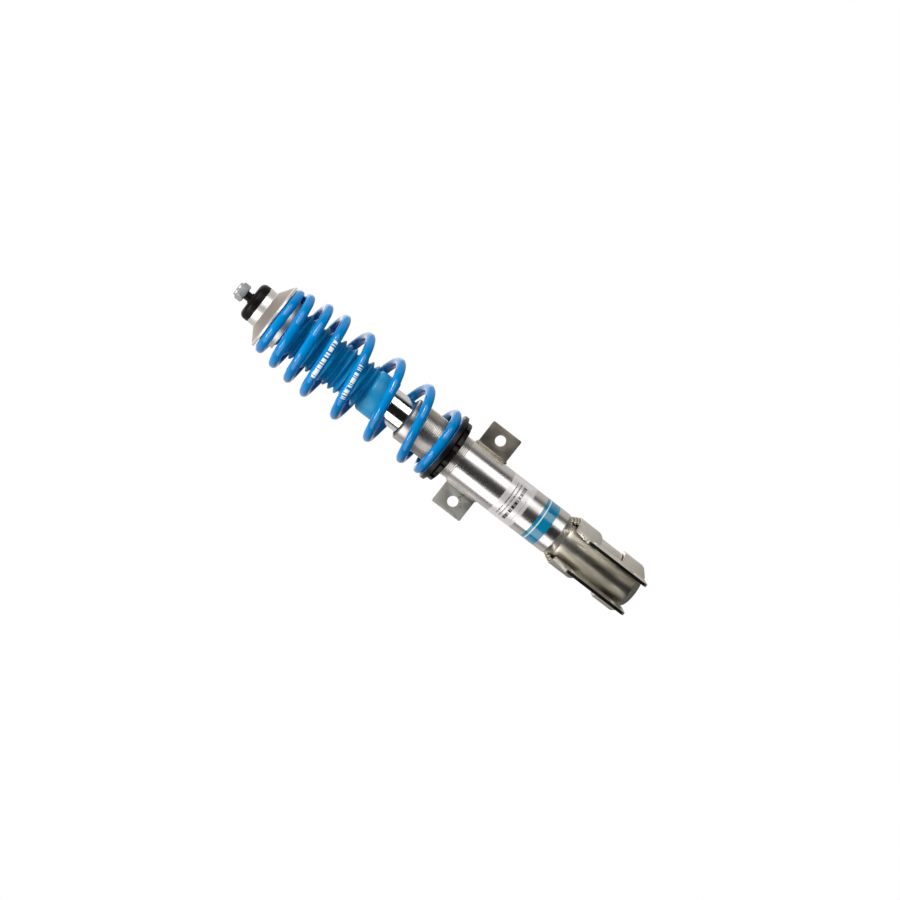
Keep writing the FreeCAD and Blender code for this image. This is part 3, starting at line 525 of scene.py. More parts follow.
ANODISED = dark_finish("black_anodised", (0.010, 0.008, 0.007), (0.005, 0.004, 0.004), 0.24,
                       900.0, 0.05 * MM, metallic=0.3, ior=1.38)
CAP = dark_finish("moulded_cap", (0.005, 0.0035, 0.003), (0.002, 0.0015, 0.0015), 0.36,
                  1400.0, 0.04 * MM, ior=1.22)
RUBBER = dark_finish("black_rubber", (0.020, 0.019, 0.018), (0.012, 0.012, 0.012), 0.55,
                     700.0, 0.10 * MM)
FOAM = dark_finish("cellular_foam", (0.50, 0.45, 0.32), (0.38, 0.33, 0.22), 0.75, 500.0, 0.3 * MM)
BUSH = dark_finish("bush_lining", (0.10, 0.10, 0.11), (0.06, 0.06, 0.07), 0.45, 1200.0, 0.05 * MM)
PAD = dark_finish("blue_pad", (0.02, 0.17, 0.42), (0.01, 0.12, 0.34), 0.22, 900.0, 0.04 * MM)

# %% [markdown]
# ### Weld metal
# A bead cools in ripples, with a straw and brown tint where the plating took badly. The ripples
# are in the mesh, so the finish adds only colour and pitting.

# %% Material: weld

GREY_AND_STRAW, WELD_ROUGH = ((0.52, 0.48, 0.42), (0.32, 0.26, 0.17)), (0.32, 0.50)


def weld_metal():
    """Grey and straw metal with fine pits."""
    made, tree, shader = material("weld_metal", Metallic=1.0)
    cloud = use(tree, GRAIN, Across=160.0, Along=160.0, Detail=4.0, Low=0.35, High=0.68)
    pits = use(tree, GRAIN, Across=1300.0, Along=1300.0, Detail=3.0, Low=0.35, High=0.7)
    surface(tree, shader, blend(tree, cloud, *GREY_AND_STRAW), between(tree, cloud, *WELD_ROUGH),
            pits, 0.35, 0.15 * MM)
    return made


WELD = weld_metal()
print("materials", len(bpy.data.materials))

# %% [markdown]
# ### Printed film
# The silver label and the blue band are printed film on the tube. Their print is rows of plain
# bars. A row is a band of heights, and its bars come from the angle around the tube: the angle is
# cut into equal cells, each cell draws a fixed random number from 0 to 1, and a cell is inked when
# its number is below the row's fill.

# %% Group: a row of bars around the tube


def bar_row_group():
    """Ink mask of one row of bars: a band of heights cut into cells around the tube."""
    settings = {"Low": 0.170, "High": 0.174, "Cells": 90.0, "Fill": 0.5, "Half Width": 0.9}
    tree, feed, result = group_tree("bar_row", settings, ["Mask"])
    place = add(tree, "ShaderNodeTexCoord").outputs["Object"]
    parts = add(tree, "ShaderNodeSeparateXYZ")
    tree.links.new(place, parts.inputs[0])
    front = maths(tree, "MULTIPLY", parts.outputs["Y"], -1.0)
    angle = maths(tree, "ARCTAN2", parts.outputs["X"], front)
    cell = maths(tree, "FLOOR", maths(tree, "MULTIPLY", angle, feed.outputs["Cells"]))
    dice = add(tree, "ShaderNodeTexWhiteNoise", noise_dimensions="2D")
    both = add(tree, "ShaderNodeCombineXYZ")
    tree.links.new(cell, both.inputs["X"])
    tree.links.new(feed.outputs["Low"], both.inputs["Y"])
    tree.links.new(both.outputs[0], dice.inputs["Vector"])
    inked = maths(tree, "LESS_THAN", dice.outputs["Value"], feed.outputs["Fill"])
    above = maths(tree, "GREATER_THAN", parts.outputs["Z"], feed.outputs["Low"])
    below = maths(tree, "LESS_THAN", parts.outputs["Z"], feed.outputs["High"])
    near = maths(tree, "LESS_THAN", maths(tree, "ABSOLUTE", angle), feed.outputs["Half Width"])
    band = maths(tree, "MULTIPLY", above, below)
    mask = maths(tree, "MULTIPLY", maths(tree, "MULTIPLY", inked, band), near)
    tree.links.new(mask, result.inputs["Mask"])
    return tree


BAR_ROW = bar_row_group()
print("group", BAR_ROW.name)

# %% Material: silver label

# Each row: how far its lower edge is below the label's top, its height (both in millimetres), the
# cells in a radian and the share that is inked.
LABEL_ROWS = ((8.6, 1.3, 75.0, 0.60), (12.7, 1.3, 75.0, 0.60), (19.8, 4.0, 62.0, 0.62),
              (26.2, 0.6, 90.0, 0.30))
ROW_HALF_WIDTH = 0.92
LABEL_ROUGH = (0.30, 0.40)
SILVER_FILM, LABEL_INK = ((0.90, 0.87, 0.865), (0.81, 0.775, 0.77)), (0.035, 0.03, 0.03)


def silver_label():
    """Silver film with four rows of bars."""
    made, tree, shader = material("silver_label", Metallic=0.45)
    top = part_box("data_label")[1].z
    cloud = use(tree, GRAIN, Across=120.0, Along=120.0, Detail=4.0, Low=0.35, High=0.65)
    ink = None
    for drop, tall, cells, fill in LABEL_ROWS:
        low = top - drop * MM
        row = use(tree, BAR_ROW, **{"Low": low, "High": low + tall * MM, "Cells": cells,
                                    "Fill": fill, "Half Width": ROW_HALF_WIDTH})
        ink = row if ink is None else maths(tree, "MAXIMUM", ink, row)
    colour = blend(tree, ink, blend(tree, cloud, *SILVER_FILM), LABEL_INK)
    surface(tree, shader, colour, between(tree, cloud, *LABEL_ROUGH), cloud, 0.10, 0.06 * MM)
    return made


SILVER_LABEL = silver_label()

# %% [markdown]
# The band's thin white line is the same row of bars with every cell inked all the way round.

# %% Material: blue band

LINE_LOW, LINE_HIGH = 5.2 * MM, 3.6 * MM
EVERY_CELL, ALL_ROUND = 1.1, 4.0
BLUE_FILM, WHITE_LINE = ((0.0, 0.23, 0.42), (0.0, 0.20, 0.37)), (0.62, 0.78, 0.80)
BAND_ROUGH = (0.20, 0.28)


def blue_band():
    """Glossy blue film with a thin white line under its upper edge."""
    made, tree, shader = material("blue_band", Coat_Weight=1.0, Coat_Roughness=0.10)
    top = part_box("band_label")[1].z
    cloud = use(tree, GRAIN, Across=90.0, Along=90.0, Detail=3.0, Low=0.35, High=0.7)
    line = use(tree, BAR_ROW, **{"Low": top - LINE_LOW, "High": top - LINE_HIGH, "Cells": 2.0,
                                 "Fill": EVERY_CELL, "Half Width": ALL_ROUND})
    colour = blend(tree, line, blend(tree, cloud, *BLUE_FILM), WHITE_LINE)
    surface(tree, shader, colour, between(tree, cloud, *BAND_ROUGH), cloud, 0.08, 0.05 * MM)
    return made


BLUE_BAND = blue_band()

# %% [markdown]
# ### Spring enamel
# The spring is powder coated in a deep glossy blue. The coat flows out nearly smooth but keeps a
# slight orange peel, which is what breaks up its highlights. Two strands carry a printed mark in
# white. The mark follows the wire, so it reads the wire's own UV map: U runs along the wire and V
# around it.

# %% The wire's winding, in numbers

spring_low, spring_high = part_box("coil_spring")
TURNS_FIRST, TURNS_LAST = -0.3, 7.85
TURNS_LIFT, TURNS_WIDEN, TURNS_LAND = 0.47, 3.5, 6.98
WIRE = 5.5 * MM
COIL_END_RADIUS, COIL_SWELL = 36.1 * MM, 9.6 * MM
UPPER_PITCH = 22.2 * MM
coil_top, coil_foot = spring_high.z - WIRE, spring_low.z + WIRE
close_part = UPPER_PITCH * (TURNS_WIDEN - TURNS_LIFT)
lower_pitch = (coil_top - coil_foot - close_part) / (TURNS_LAND - TURNS_WIDEN)
SWELL_LEAD, SWELL_SPAN = 0.17, 0.2
SMOOTH_OVER = (-0.2, -0.1, 0, 0.1, 0.2)
print("lower pitch", round(lower_pitch / MM, 2), "mm")


def coil_radius(turns):
    """Radius of the wire's centre line: even at the ends, barrel-shaped between."""
    share = (turns - TURNS_LIFT + SWELL_LEAD) / (TURNS_LAND - TURNS_LIFT + SWELL_SPAN)
    share = min(max(share, 0), 1)
    return COIL_END_RADIUS + COIL_SWELL * math.sin(math.pi * share)


def coil_height(turns):
    """Height of the wire's centre line, smoothed where one pitch gives way to the next."""
    total = 0
    for step in SMOOTH_OVER:
        upper = min(max(turns + step - TURNS_LIFT, 0), TURNS_WIDEN - TURNS_LIFT)
        lower = min(max(turns + step - TURNS_WIDEN, 0), TURNS_LAND - TURNS_WIDEN)
        total += coil_top - UPPER_PITCH * upper - lower_pitch * lower
    return total / len(SMOOTH_OVER)


# %% [markdown]
# ### The spring
# A Screw modifier winds a wire at one pitch and one radius, and this spring has neither. So the
# wire is a curve whose points come from the winding's numbers, with a round bevel. The ends taper
# a little, as they do where hot-wound bar is drawn down and ground flat for the seats. Converted
# to a mesh it is closed by its end caps and keeps a UV map along the wire.

# %% Winding the spring

POINTS_PER_TURN = 40
END_SHARE, END_GROWTH = 0.93, 0.09


def wind_spring():
    """A round wire along the winding's points, made a mesh."""
    nothing_selected()
    bpy.ops.curve.primitive_nurbs_path_add(location=(0, 0, 0))
    wire = bpy.context.object
    curve = wire.data
    curve.splines.clear()
    line = curve.splines.new("POLY")
    count = round((TURNS_LAST - TURNS_FIRST) * POINTS_PER_TURN)
    line.points.add(count)
    for k in range(count + 1):
        turns = TURNS_FIRST + (TURNS_LAST - TURNS_FIRST) * k / count
        angle = -TURN * turns
        radius = coil_radius(turns)
        across, deep = radius * math.cos(angle), radius * math.sin(angle)
        line.points[k].co = (across, deep, coil_height(turns), 1)
        from_end = min(turns - TURNS_FIRST, TURNS_LAST - turns)
        line.points[k].radius = min(1.0, END_SHARE + END_GROWTH * from_end)
    curve.dimensions = "3D"
    curve.twist_mode = "Z_UP"
    curve.bevel_depth = WIRE
    curve.bevel_resolution = 8
    curve.use_fill_caps = True
    only(wire)
    bpy.ops.object.convert(target="MESH")
    return settle(bpy.context.object, "spring_wire")


spring = wind_spring()
print("spring", len(spring.data.polygons), "faces, UV map", spring.data.uv_layers[0].name)

# %% [markdown]
# The bars of the mark lie on the outside of the wire, so the script measures which V faces away
# from the strut's axis instead of assuming it. It prints the lowest and highest U as well, which
# are 0 and 1 when U runs once along the wire.

# %% Where the wire faces outwards

MARK_HEIGHT, MARK_NEAR = 0.38, 0.03


def outward_uv(piece):
    """V of the wire's outer side near the mark, and the lowest and highest U."""
    layer = piece.data.uv_layers[0].data
    best, found = 0, 0.5
    spread = [10, -10]
    for polygon in piece.data.polygons:
        if len(polygon.vertices) != 4:
            continue
        for loop in polygon.loop_indices:
            point = piece.data.vertices[piece.data.loops[loop].vertex_index].co
            u, v = layer[loop].uv
            spread = [min(spread[0], u), max(spread[1], u)]
            reach = math.hypot(point.x, point.y)
            if abs(point.z - MARK_HEIGHT) < MARK_NEAR and reach > best:
                best, found = reach, v
    return found, spread


mark_v, u_span = outward_uv(spring)
print("outer side at V", round(mark_v, 3), "U from", [round(u, 3) for u in u_span])

# %% Material: spring enamel

ENAMEL, MARK_WHITE = ((0.0, 0.235, 0.60), (0.0, 0.20, 0.52)), (0.86, 0.90, 0.93)
ENAMEL_ROUGH = (0.14, 0.22)
MARKED_TURNS = ((3.171, 3.323), (4.183, 4.324))
BAR_HALF_V, BAR_CELLS, BAR_FILL = 0.100, 2500.0, 0.60


def turns_to_u(turns):
    """U on the wire at a number of turns."""
    return (turns - TURNS_FIRST) / (TURNS_LAST - TURNS_FIRST)


def spring_enamel():
    """Deep blue under a clear gloss, with two stretches of white bars."""
    made, tree, shader = material("spring_enamel", Coat_Weight=0.75, Coat_Roughness=0.05,
                                  Specular_IOR_Level=0.05)
    peel = use(tree, GRAIN, Across=420.0, Along=420.0, Detail=1.0, Low=0.2, High=0.8)
    cloud = use(tree, GRAIN, Across=30.0, Along=30.0, Detail=3.0, Low=0.35, High=0.65)
    uv = add(tree, "ShaderNodeUVMap", uv_map=spring.data.uv_layers[0].name)
    parts = add(tree, "ShaderNodeSeparateXYZ")
    tree.links.new(uv.outputs[0], parts.inputs[0])
    across = maths(tree, "ABSOLUTE", maths(tree, "SUBTRACT", parts.outputs["Y"], mark_v))
    tall = maths(tree, "LESS_THAN", across, BAR_HALF_V)
    cell = maths(tree, "FLOOR", maths(tree, "MULTIPLY", parts.outputs["X"], BAR_CELLS))
    dice = add(tree, "ShaderNodeTexWhiteNoise", noise_dimensions="1D")
    tree.links.new(cell, dice.inputs["W"])
    inked = maths(tree, "LESS_THAN", dice.outputs["Value"], BAR_FILL)
    ink = None
    for first, last in MARKED_TURNS:
        after = maths(tree, "GREATER_THAN", parts.outputs["X"], turns_to_u(first))
        before = maths(tree, "LESS_THAN", parts.outputs["X"], turns_to_u(last))
        stretch = maths(tree, "MULTIPLY", after, before)
        ink = stretch if ink is None else maths(tree, "ADD", ink, stretch)
    ink = maths(tree, "MULTIPLY", maths(tree, "MULTIPLY", ink, tall), inked)
    colour = blend(tree, ink, blend(tree, cloud, *ENAMEL), MARK_WHITE)
    surface(tree, shader, colour, between(tree, cloud, *ENAMEL_ROUGH), peel, 0.10, 0.1 * MM)
    return made


smooth(put_finish(spring, spring_enamel()), degrees=60)
fit_out(spring, "perch", "coil_spring")
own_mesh(spring)

# %% [markdown]
# ### The dust boot
# A bellows is a lathe shape: one wavy profile, with a wall of even thickness, spun about the axis.
# Each fold is drawn with a few points on a cosine, raised to a power that makes it a little fuller
# at its tip than in its valley. Below the folds the boot is a plain sleeve, and above them a cuff
# sits in the seat's spring guide.

# %% Turning the boot

boot_low, boot_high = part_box("dust_boot")
BOOT_WALL = 1.1 * MM
SLEEVE_RADIUS, SLEEVE_TALL = 26.0 * MM, 26.6 * MM
TIP_RADIUS, VALLEY_RADIUS = 27.2 * MM, 22.1 * MM
FOLD_PITCH, FOLDS, POINTS_PER_FOLD = 7.6 * MM, 14, 10
CUFF_RADIUS, CUFF_TALL = 27.3 * MM, 5.6 * MM
CREST_POWER = 0.8


def boot_profile():
    """The outside from the bottom up, then the inside back down."""
    base = boot_low.z + SLEEVE_TALL
    outer = [(SLEEVE_RADIUS - 0.3 * MM, boot_low.z), (SLEEVE_RADIUS, boot_low.z + 0.5 * MM),
             (SLEEVE_RADIUS, base - 5.0 * MM), (SLEEVE_RADIUS - 0.4 * MM, base - 3.4 * MM),
             (SLEEVE_RADIUS - 1.6 * MM, base - 1.6 * MM)]
    for k in range(FOLDS * POINTS_PER_FOLD + 1):
        share = (k / POINTS_PER_FOLD) % 1.0
        crest = (0.5 - 0.5 * math.cos(TURN * share)) ** CREST_POWER
        radius = VALLEY_RADIUS + (TIP_RADIUS - VALLEY_RADIUS) * crest
        outer.append((radius, base + FOLD_PITCH * k / POINTS_PER_FOLD))
    top = boot_high.z
    outer += [(CUFF_RADIUS - 1.2 * MM, top - CUFF_TALL - 0.8 * MM),
              (CUFF_RADIUS, top - CUFF_TALL), (CUFF_RADIUS, top)]
    inner = [(radius - BOOT_WALL, height) for radius, height in reversed(outer)]
    return outer + inner


boot = smooth(lathe("bellows_boot", boot_profile()), degrees=50)

# %% [markdown]
# The boot's rubber is a satin blue, and its thin sleeve lets a little light through, so it looks
# paler than the folds. A height mask fades the sleeve's colour into the folds', and a touch of
# subsurface lets light spread in the rubber.

# %% Material: boot

FOLD_BLUE = ((0.0, 0.235, 0.50), (0.0, 0.175, 0.41))
SLEEVE_BLUE = ((0.008, 0.31, 0.58), (0.004, 0.25, 0.49))
SLEEVE_END, COLOUR_FADE = 24.0, 2.5
BOOT_ROUGH = (0.34, 0.48)


def boot_rubber():
    """Satin blue, paler in the sleeve; the two places are in millimetres from its lower end."""
    made, tree, shader = material("boot_rubber", Specular_IOR_Level=0.45, Subsurface_Weight=0.08,
                                  Subsurface_Scale=0.004)
    cloud = use(tree, GRAIN, Across=60.0, Along=60.0, Detail=4.0, Low=0.35, High=0.68)
    fine = use(tree, GRAIN, Across=900.0, Along=900.0, Detail=2.0, Low=0.3, High=0.7)
    fold_start = boot_low.z / MM + SLEEVE_END
    folds = place_mask(tree, fold_start - COLOUR_FADE, fold_start + COLOUR_FADE)
    colour = blend(tree, folds, blend(tree, cloud, *SLEEVE_BLUE), blend(tree, cloud, *FOLD_BLUE))
    surface(tree, shader, colour, between(tree, cloud, *BOOT_ROUGH), fine, 0.12, 0.08 * MM)
    return made


put_finish(boot, boot_rubber())
fit_out(boot, "upper_seat", "dust_boot")
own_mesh(boot)

# %% [markdown]
# ### Pressed and turned pieces with soft edges
# Sheared sheet and turned rings have no razor edges. CAD drew their shapes, so a copy of each mesh
# is merged into one surface, flat faces lose their triangles, and the edges are given a small
# bevel. The bevel works by angle, so it leaves the round faces alone.

# %% Softened copies of CAD pieces

SEAM_GAP = 2e-6
FLAT_ENOUGH, BEVEL_FROM, SHARP_FROM = 0.5, 30, 40


def soft_copy(node, name, width):
    """A merged copy of a CAD node with bevelled edges; the three angles are in degrees."""
    nothing_selected()
    nodes[node].select_set(True)
    bpy.context.view_layer.objects.active = nodes[node]
    bpy.ops.object.duplicate()
    piece = bpy.context.object
    for key in list(piece.keys()):
        del piece[key]
    piece.parent = None
    piece.hide_render = piece.hide_viewport = False
    only(piece)
    bpy.ops.object.mode_set(mode="EDIT")
    bpy.ops.mesh.select_all(action="SELECT")
    bpy.ops.mesh.remove_doubles(threshold=SEAM_GAP)
    bpy.ops.mesh.dissolve_limited(angle_limit=math.radians(FLAT_ENOUGH))
    bpy.ops.object.mode_set(mode="OBJECT")
    modify(piece, "BEVEL", width=width, segments=3, limit_method="ANGLE",
           angle_limit=math.radians(BEVEL_FROM), use_clamp_overlap=True, miter_outer="MITER_ARC")
    return smooth(settle(piece, name), degrees=SHARP_FROM)


# Each row: the CAD node, its copy's name, the bevel in millimetres, its finish, body and slot.
SOFTENED = (
    ("knuckle_bracket", "knuckle_clamp", 0.7, KNUCKLE_STEEL, "housing", "zinc_sheet"),
    ("tab_bracket", "tab_strap", 0.5, TAB_STEEL, "housing", "zinc_sheet"),
    ("spring_perch", "perch_dish", 0.35, ANODISED, "perch", "black_anodised"),
    ("adjusting_ring", "notched_ring", 0.4, ANODISED, "ring", "black_anodised"),
    ("upper_spring_seat", "turned_seat", 0.5, SEAT, "upper_seat", "seat_metal"),
)
for node, name, width, finish, body, slot in SOFTENED:
    fit_out(put_finish(soft_copy(node, name, width * MM), finish), body, node)

# %% [markdown]
# ### The top nut
# A nut is a hexagon whose corners are cut by a cone. The hexagon is a six-sided cylinder with its
# bore cut through, and a Boolean with a cone leaves the curved chamfer lines that a real nut shows.
# The collar above it is a second, round step.

# %% Making the nut

nut_low, nut_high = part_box("top_nut")
NUT_FLAT, NUT_COLLAR, STUD_RADIUS = 18.0 * MM, 8.0 * MM, 5.0 * MM
COLLAR_TALL, COLLAR_SINK, COLLAR_CHAMFER = 2.6 * MM, 0.5 * MM, 0.8 * MM
CORNER_CUT, CORNER_SPARE, FACE_INSET = 1.3 * MM, 0.2 * MM, 0.3 * MM
THREAD_PLAY = 0.05 * MM


def make_nut():
    """Hexagon, cut to the chamfer cones' shape, with its collar and bore."""
    foot, head, hex_high = nut_low.z, nut_high.z, nut_high.z - COLLAR_TALL
    corner = NUT_FLAT / math.sqrt(3)
    nothing_selected()
    bpy.ops.mesh.primitive_cylinder_add(
        vertices=6, radius=corner, depth=hex_high - foot,
        location=(0, 0, (hex_high + foot) / 2), rotation=(0, 0, TURN / 12))
    nut = settle(bpy.context.object, "lock_nut")
    wide, narrow = corner + CORNER_SPARE, NUT_FLAT / 2 - FACE_INSET
    bore, sunk = STUD_RADIUS + THREAD_PLAY, hex_high - COLLAR_SINK
    gem = [(0, foot), (narrow, foot), (wide, foot + CORNER_CUT), (wide, hex_high - CORNER_CUT),
           (narrow, hex_high), (0, hex_high)]
    collar = [(0, sunk), (NUT_COLLAR, sunk), (NUT_COLLAR, head - COLLAR_CHAMFER),
              (NUT_COLLAR - COLLAR_CHAMFER, head), (0, head)]
    hole = [(0, foot - MM), (bore, foot - MM), (bore, head + MM), (0, head + MM)]
    for profile, operation in ((gem, "INTERSECT"), (collar, "UNION"), (hole, "DIFFERENCE")):
        helper = lathe("nut_helper", profile, steps=64)
        modify(nut, "BOOLEAN", object=helper, operation=operation, solver="EXACT")
        bpy.data.objects.remove(helper)
    modify(nut, "BEVEL", width=0.15 * MM, segments=2, limit_method="ANGLE",
           angle_limit=math.radians(30))
    return smooth(nut, degrees=30)


nut = put_finish(make_nut(), NUT_STEEL)
fit_out(nut, "damper", "top_nut")

# %% [markdown]
# ### Weld beads
# A hand-laid bead is a row of overlapping puddles. Each puddle is a flattened ball, set a little
# further along the seam than the last, and a voxel remesh melts them into one closed skin that
# keeps their ripples.

# %% Laying a bead

RIPPLE, RIPPLE_RATE, RIPPLE_DRIFT, DRIFT_RATE = 0.10, 2.3, 0.7, 1.3
VOXEL = 0.28 * MM


def weld_bead(name, points, radius, flatten=0.75):
    """Overlapping balls along the points, uneven in size, melted together."""
    balls = []
    for k, point in enumerate(points):
        nothing_selected()
        ripple = math.sin(RIPPLE_RATE * k + RIPPLE_DRIFT * math.sin(DRIFT_RATE * k))
        bpy.ops.mesh.primitive_uv_sphere_add(
            segments=16, ring_count=10, radius=radius * (1.0 + RIPPLE * ripple), location=point,
            scale=(flatten, flatten, 1.0))
        balls.append(bpy.context.object)
    bead = joined(balls, name)
    modify(bead, "REMESH", mode="VOXEL", voxel_size=VOXEL)
    modify(bead, "SMOOTH", factor=0.5, iterations=2)
    put_finish(bead, WELD)
    return smooth(bead, degrees=60)


weld_low, weld_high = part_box("tab_welds")
tab_front_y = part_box("tab_bracket")[0].y
TUBE_WALL, SEAM_OUT, SEAM_FORWARD = 3.0 * MM, 0.9 * MM, 0.2 * MM
BEAD_STEP, BEAD_RADIUS, BEAD_END = 1.5 * MM, 1.55 * MM, 1.0 * MM
tube_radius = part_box("upper_guide_bush")[1].x + TUBE_WALL
seam_x = math.sqrt(tube_radius ** 2 - tab_front_y ** 2) + SEAM_OUT
steps = int((weld_high.z - weld_low.z - 2 * BEAD_END) / BEAD_STEP)
beads = []
for side in (-1, 1):
    spots = [(side * seam_x, tab_front_y - SEAM_FORWARD, weld_low.z + BEAD_END + BEAD_STEP * k)
             for k in range(steps + 1)]
    beads.append(weld_bead("tab_bead", spots, BEAD_RADIUS))
tab_beads = joined(beads, "tab_beads")
fit_out(tab_beads, "housing", "tab_welds")

# %% [markdown]
# The knuckle bracket's upper edge is welded to the tube on both sides, where the tube narrows. The
# bead there is broad and leans against the tube's shoulder, so it is laid in three courses, each
# one higher and closer to the tube.

# %% Welding the bracket's shoulders

shoulder_low, shoulder_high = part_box("knuckle_welds")
reach = shoulder_high.x
# Each course, in millimetres: how far in from the bead's outer reach, how high, and how thick.
COURSES = ((2.2, 0.9, 2.1), (3.9, 4.0, 2.3), (5.4, 7.4, 1.9))
PUDDLES_EACH_WAY, PUDDLE_DEGREES = 9, 2.75
beads = []
for side in (-1, 1):
    for inset, rise, thick in COURSES:
        radius, height = reach - inset * MM, shoulder_low.z + rise * MM
        spots = []
        for k in range(-PUDDLES_EACH_WAY, PUDDLES_EACH_WAY + 1):
            angle = math.radians(PUDDLE_DEGREES * k)
            spots.append((side * radius * math.cos(angle), radius * math.sin(angle), height))
        beads.append(weld_bead("shoulder_bead", spots, thick * MM, flatten=0.95))
shoulder_beads = joined(beads, "shoulder_beads")
fit_out(shoulder_beads, "housing", "knuckle_welds")

# %% [markdown]
# ### Finishes for the pieces that CAD already shaped
# Tubes, rings, bushes and the pieces inside keep their CAD shape. Each one still gets a real
# finish, because the strut may be opened or shown in section.

# %% Dressing the CAD nodes

FINISHES = {
    TUBE: ["housing_tube", "housing_base"],
    CHROME: ["damper_tube", "piston_rod"],
    CAP: ["bearing_cap"],
    STUD_STEEL: ["top_stud", "lock_screw"],
    NUT_STEEL: ["foot_bolt", "foot_washer", "bump_washer", "lower_valve_discs", "upper_valve_discs",
                "piston_nut", "lower_race", "upper_race", "ball_cage", "seat_spacer", "guide_ring"],
    CAST_IRON: ["piston", "rod_guide"],
    ALLOY: ["floating_piston"],
    RUBBER: ["wiper_seal", "recess_plug", "rod_seal", "float_seal"],
    FOAM: ["bump_stop", "rebound_buffer"],
    BUSH: ["upper_guide_bush", "lower_guide_bush", "piston_band"],
    PAD: ["slip_washer"],
    SILVER_LABEL: ["data_label"],
    BLUE_BAND: ["band_label"],
}
dressed = []
for finish, names in FINISHES.items():
    for name in names:
        put_finish(nodes[name], finish)
        dressed.append(name)
undressed = [name for name, item in nodes.items() if name not in dressed and not item.hide_render]
print("dressed", len(dressed), "still bare", undressed)

# %% [markdown]
# ## The studio
# Plated and chromed tubes show their surroundings, not themselves. A tall bank of light stands on
# each side of the camera with a thin strip above it, so each bright tube carries two white stripes
# with a dark one between them. The camera sees a plain white world. Reflections see a dark room
# that brightens to the sides and behind the strut. The floor is small and lies well below, so that
# little of it shows in the tubes.

# %% Floor

WHITE, FLOOR_GREY = (1, 1, 1, 1), (0.10, 0.10, 0.10, 1)
FLOOR_SIZE, FLOOR_DROP = 2.0, 0.6

nothing_selected()
bpy.ops.mesh.primitive_plane_add(size=FLOOR_SIZE, location=(0, 0, cad_box[0][2] - FLOOR_DROP))
floor = settle(bpy.context.object, "floor")
floor_finish, tree, shader = material("floor_white", Roughness=0.9)
shader.inputs["Base Color"].default_value = FLOOR_GREY
glow = add(tree, "ShaderNodeEmission", {"Color": WHITE, "Strength": 1.0})
seen = add(tree, "ShaderNodeLightPath")
either = add(tree, "ShaderNodeMixShader")
tree.links.new(seen.outputs["Is Camera Ray"], either.inputs[0])
tree.links.new(shader.outputs[0], either.inputs[1])
tree.links.new(glow.outputs[0], either.inputs[2])
tree.links.new(either.outputs[0], tree.nodes["Material Output"].inputs["Surface"])
put_finish(floor, floor_finish)

# %% World

ROOM_TINT = (1.0, 0.97, 0.94, 1)
FRONT_LIGHT, WALL_LIGHT, FLOOR_SHARE = 0.010, 0.62, 0.1
WALL_FROM, WALL_FULL = -0.05, 0.3
DEEP_FROM, DEEP_NONE = -0.6, -0.2


def studio_world():
    """White to the camera. To the rest, a dark room, brighter behind and darker far below."""
    world = bpy.data.worlds.new("studio")
    world.use_nodes = True
    tree = world.node_tree
    parts = add(tree, "ShaderNodeSeparateXYZ")
    tree.links.new(add(tree, "ShaderNodeTexCoord").outputs["Generated"], parts.inputs[0])
    wall = add(tree, "ShaderNodeMapRange", {"From Min": WALL_FROM, "From Max": WALL_FULL,
                                            "To Min": FRONT_LIGHT, "To Max": WALL_LIGHT})
    tree.links.new(parts.outputs["Y"], wall.inputs["Value"])
    depth = add(tree, "ShaderNodeMapRange", {"From Min": DEEP_FROM, "From Max": DEEP_NONE,
                                             "To Min": FLOOR_SHARE, "To Max": 1.0})
    tree.links.new(parts.outputs["Z"], depth.inputs["Value"])
    room = tree.nodes["Background"]
    room.inputs["Color"].default_value = ROOM_TINT
    strength = maths(tree, "MULTIPLY", wall.outputs[0], depth.outputs[0])
    tree.links.new(strength, room.inputs["Strength"])
    white = add(tree, "ShaderNodeBackground", {"Color": WHITE, "Strength": 1.0})
    seen = add(tree, "ShaderNodeLightPath")
    either = add(tree, "ShaderNodeMixShader")
    tree.links.new(seen.outputs["Is Camera Ray"], either.inputs[0])
    tree.links.new(room.outputs[0], either.inputs[1])
    tree.links.new(white.outputs[0], either.inputs[2])
    tree.links.new(either.outputs[0], tree.nodes["World Output"].inputs["Surface"])
    bpy.context.scene.world = world


studio_world()
bpy.context.scene.view_settings.view_transform = "Standard"

# %% Soft lights

# Each light: its name, its azimuth and elevation in degrees, its distance, width and height in
# metres, and its power in watts.
LIGHTS = (
    ("left_bank", -57.0, 11.5, 1.3, 1.15, 1.6, 12.2),
    ("right_bank", 49.0, 11.5, 1.3, 0.95, 1.6, 10.3),
    ("left_strip", -48.0, 42.0, 1.3, 0.60, 0.12, 6.5),
    ("right_strip", 46.0, 42.0, 1.3, 0.60, 0.12, 6.5),
    ("top_fill", 0.0, 84.0, 1.6, 1.4, 1.4, 2.0),
    ("back_fill", 180.0, 30.0, 1.8, 2.0, 2.0, 10.0),
)


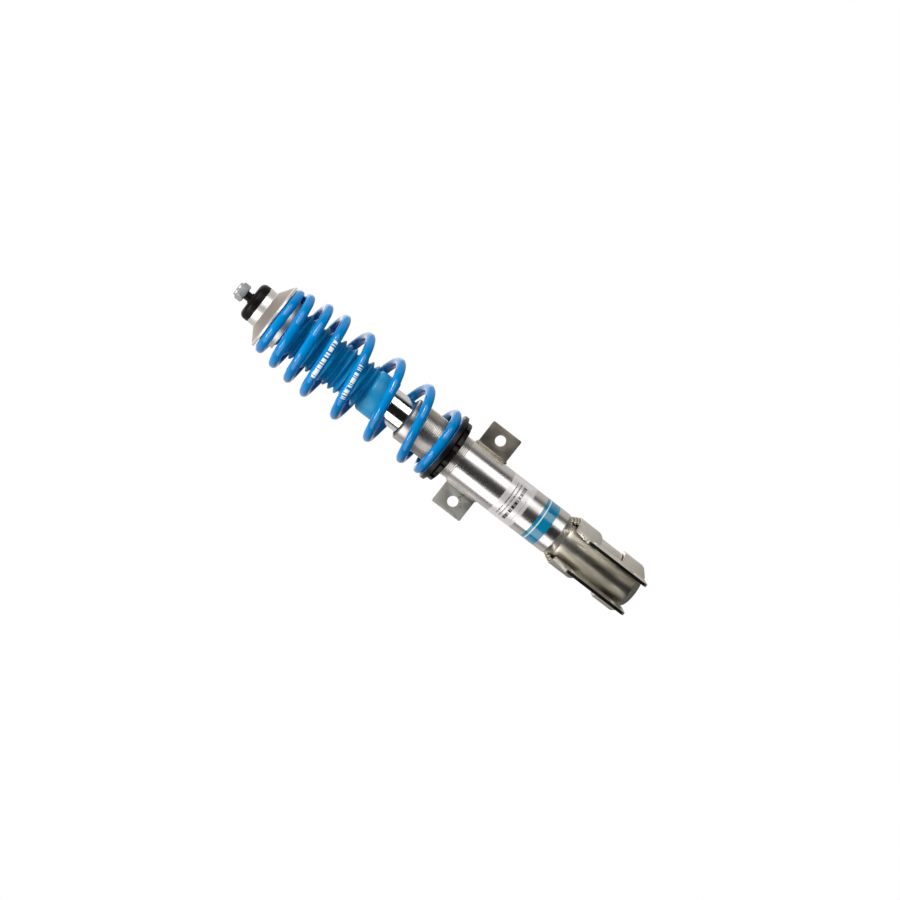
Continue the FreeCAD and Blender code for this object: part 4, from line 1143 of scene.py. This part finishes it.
def soft_light(name, azimuth, elevation, distance, width, height, power, target):
    """A rectangular light that faces a point on the strut's axis."""
    turn, lift = math.radians(azimuth), math.radians(elevation)
    toward = Vector((math.sin(turn) * math.cos(lift), -math.cos(turn) * math.cos(lift),
                     math.sin(lift)))
    nothing_selected()
    bpy.ops.object.light_add(type="AREA", location=Vector(target) + toward * distance)
    lamp = bpy.context.object
    lamp.name = name
    lamp.rotation_euler = toward.to_track_quat("Z", "Y").to_euler()
    lamp.data.shape = "RECTANGLE"
    lamp.data.size, lamp.data.size_y = width, height
    lamp.data.energy = power


middle = (0, 0, (cad_box[0][2] + cad_box[1][2]) / 2)
for light in LIGHTS:
    soft_light(*light, middle)
print("lights", [light[0] for light in LIGHTS])

# %% [markdown]
# ## The camera
# The strut is seen nearly square on, from a little above and to its right, with the camera rolled
# so that the strut lies on a slant with its stud up and to the left. The roll is set directly: the
# camera's own right and up are combinations of the level right and the strut's up.

# %% Camera

CAMERA_AZIMUTH, CAMERA_ELEVATION = math.radians(5.5), math.radians(6.5)
CAMERA_DISTANCE, LENS = 2.255, 82.0
AIM_HEIGHT = 0.2593
SLANT_ACROSS, SLANT_UP = -0.792, 0.610
AIM_ACROSS, AIM_UP = 0.0009, 0.0012
SENSOR_WIDTH = 36.0


def place_camera():
    """A camera that looks at the aim from `away`, rolled by the slant."""
    away = Vector((math.sin(CAMERA_AZIMUTH) * math.cos(CAMERA_ELEVATION),
                   -math.cos(CAMERA_AZIMUTH) * math.cos(CAMERA_ELEVATION),
                   math.sin(CAMERA_ELEVATION)))
    level = Vector((0, 0, 1)).cross(away).normalized()
    rise = away.cross(level)
    right = (level * SLANT_UP + rise * SLANT_ACROSS).normalized()
    up = away.cross(right)
    aim = Vector((0, 0, AIM_HEIGHT)) + right * AIM_ACROSS + up * AIM_UP
    nothing_selected()
    bpy.ops.object.camera_add(location=(0, 0, 0))
    camera = bpy.context.object
    frame_matrix = Matrix((right, up, away)).transposed().to_4x4()
    frame_matrix.translation = aim + away * CAMERA_DISTANCE
    camera.matrix_world = frame_matrix
    camera.data.lens = LENS
    camera.data.sensor_width = SENSOR_WIDTH
    camera.data.clip_start = 0.05
    camera.data.clip_end = 60.0
    bpy.context.scene.camera = camera
    return camera


camera = place_camera()
print("camera at", [round(v, 3) for v in camera.location])

# %% Clearing the selection
nothing_selected()
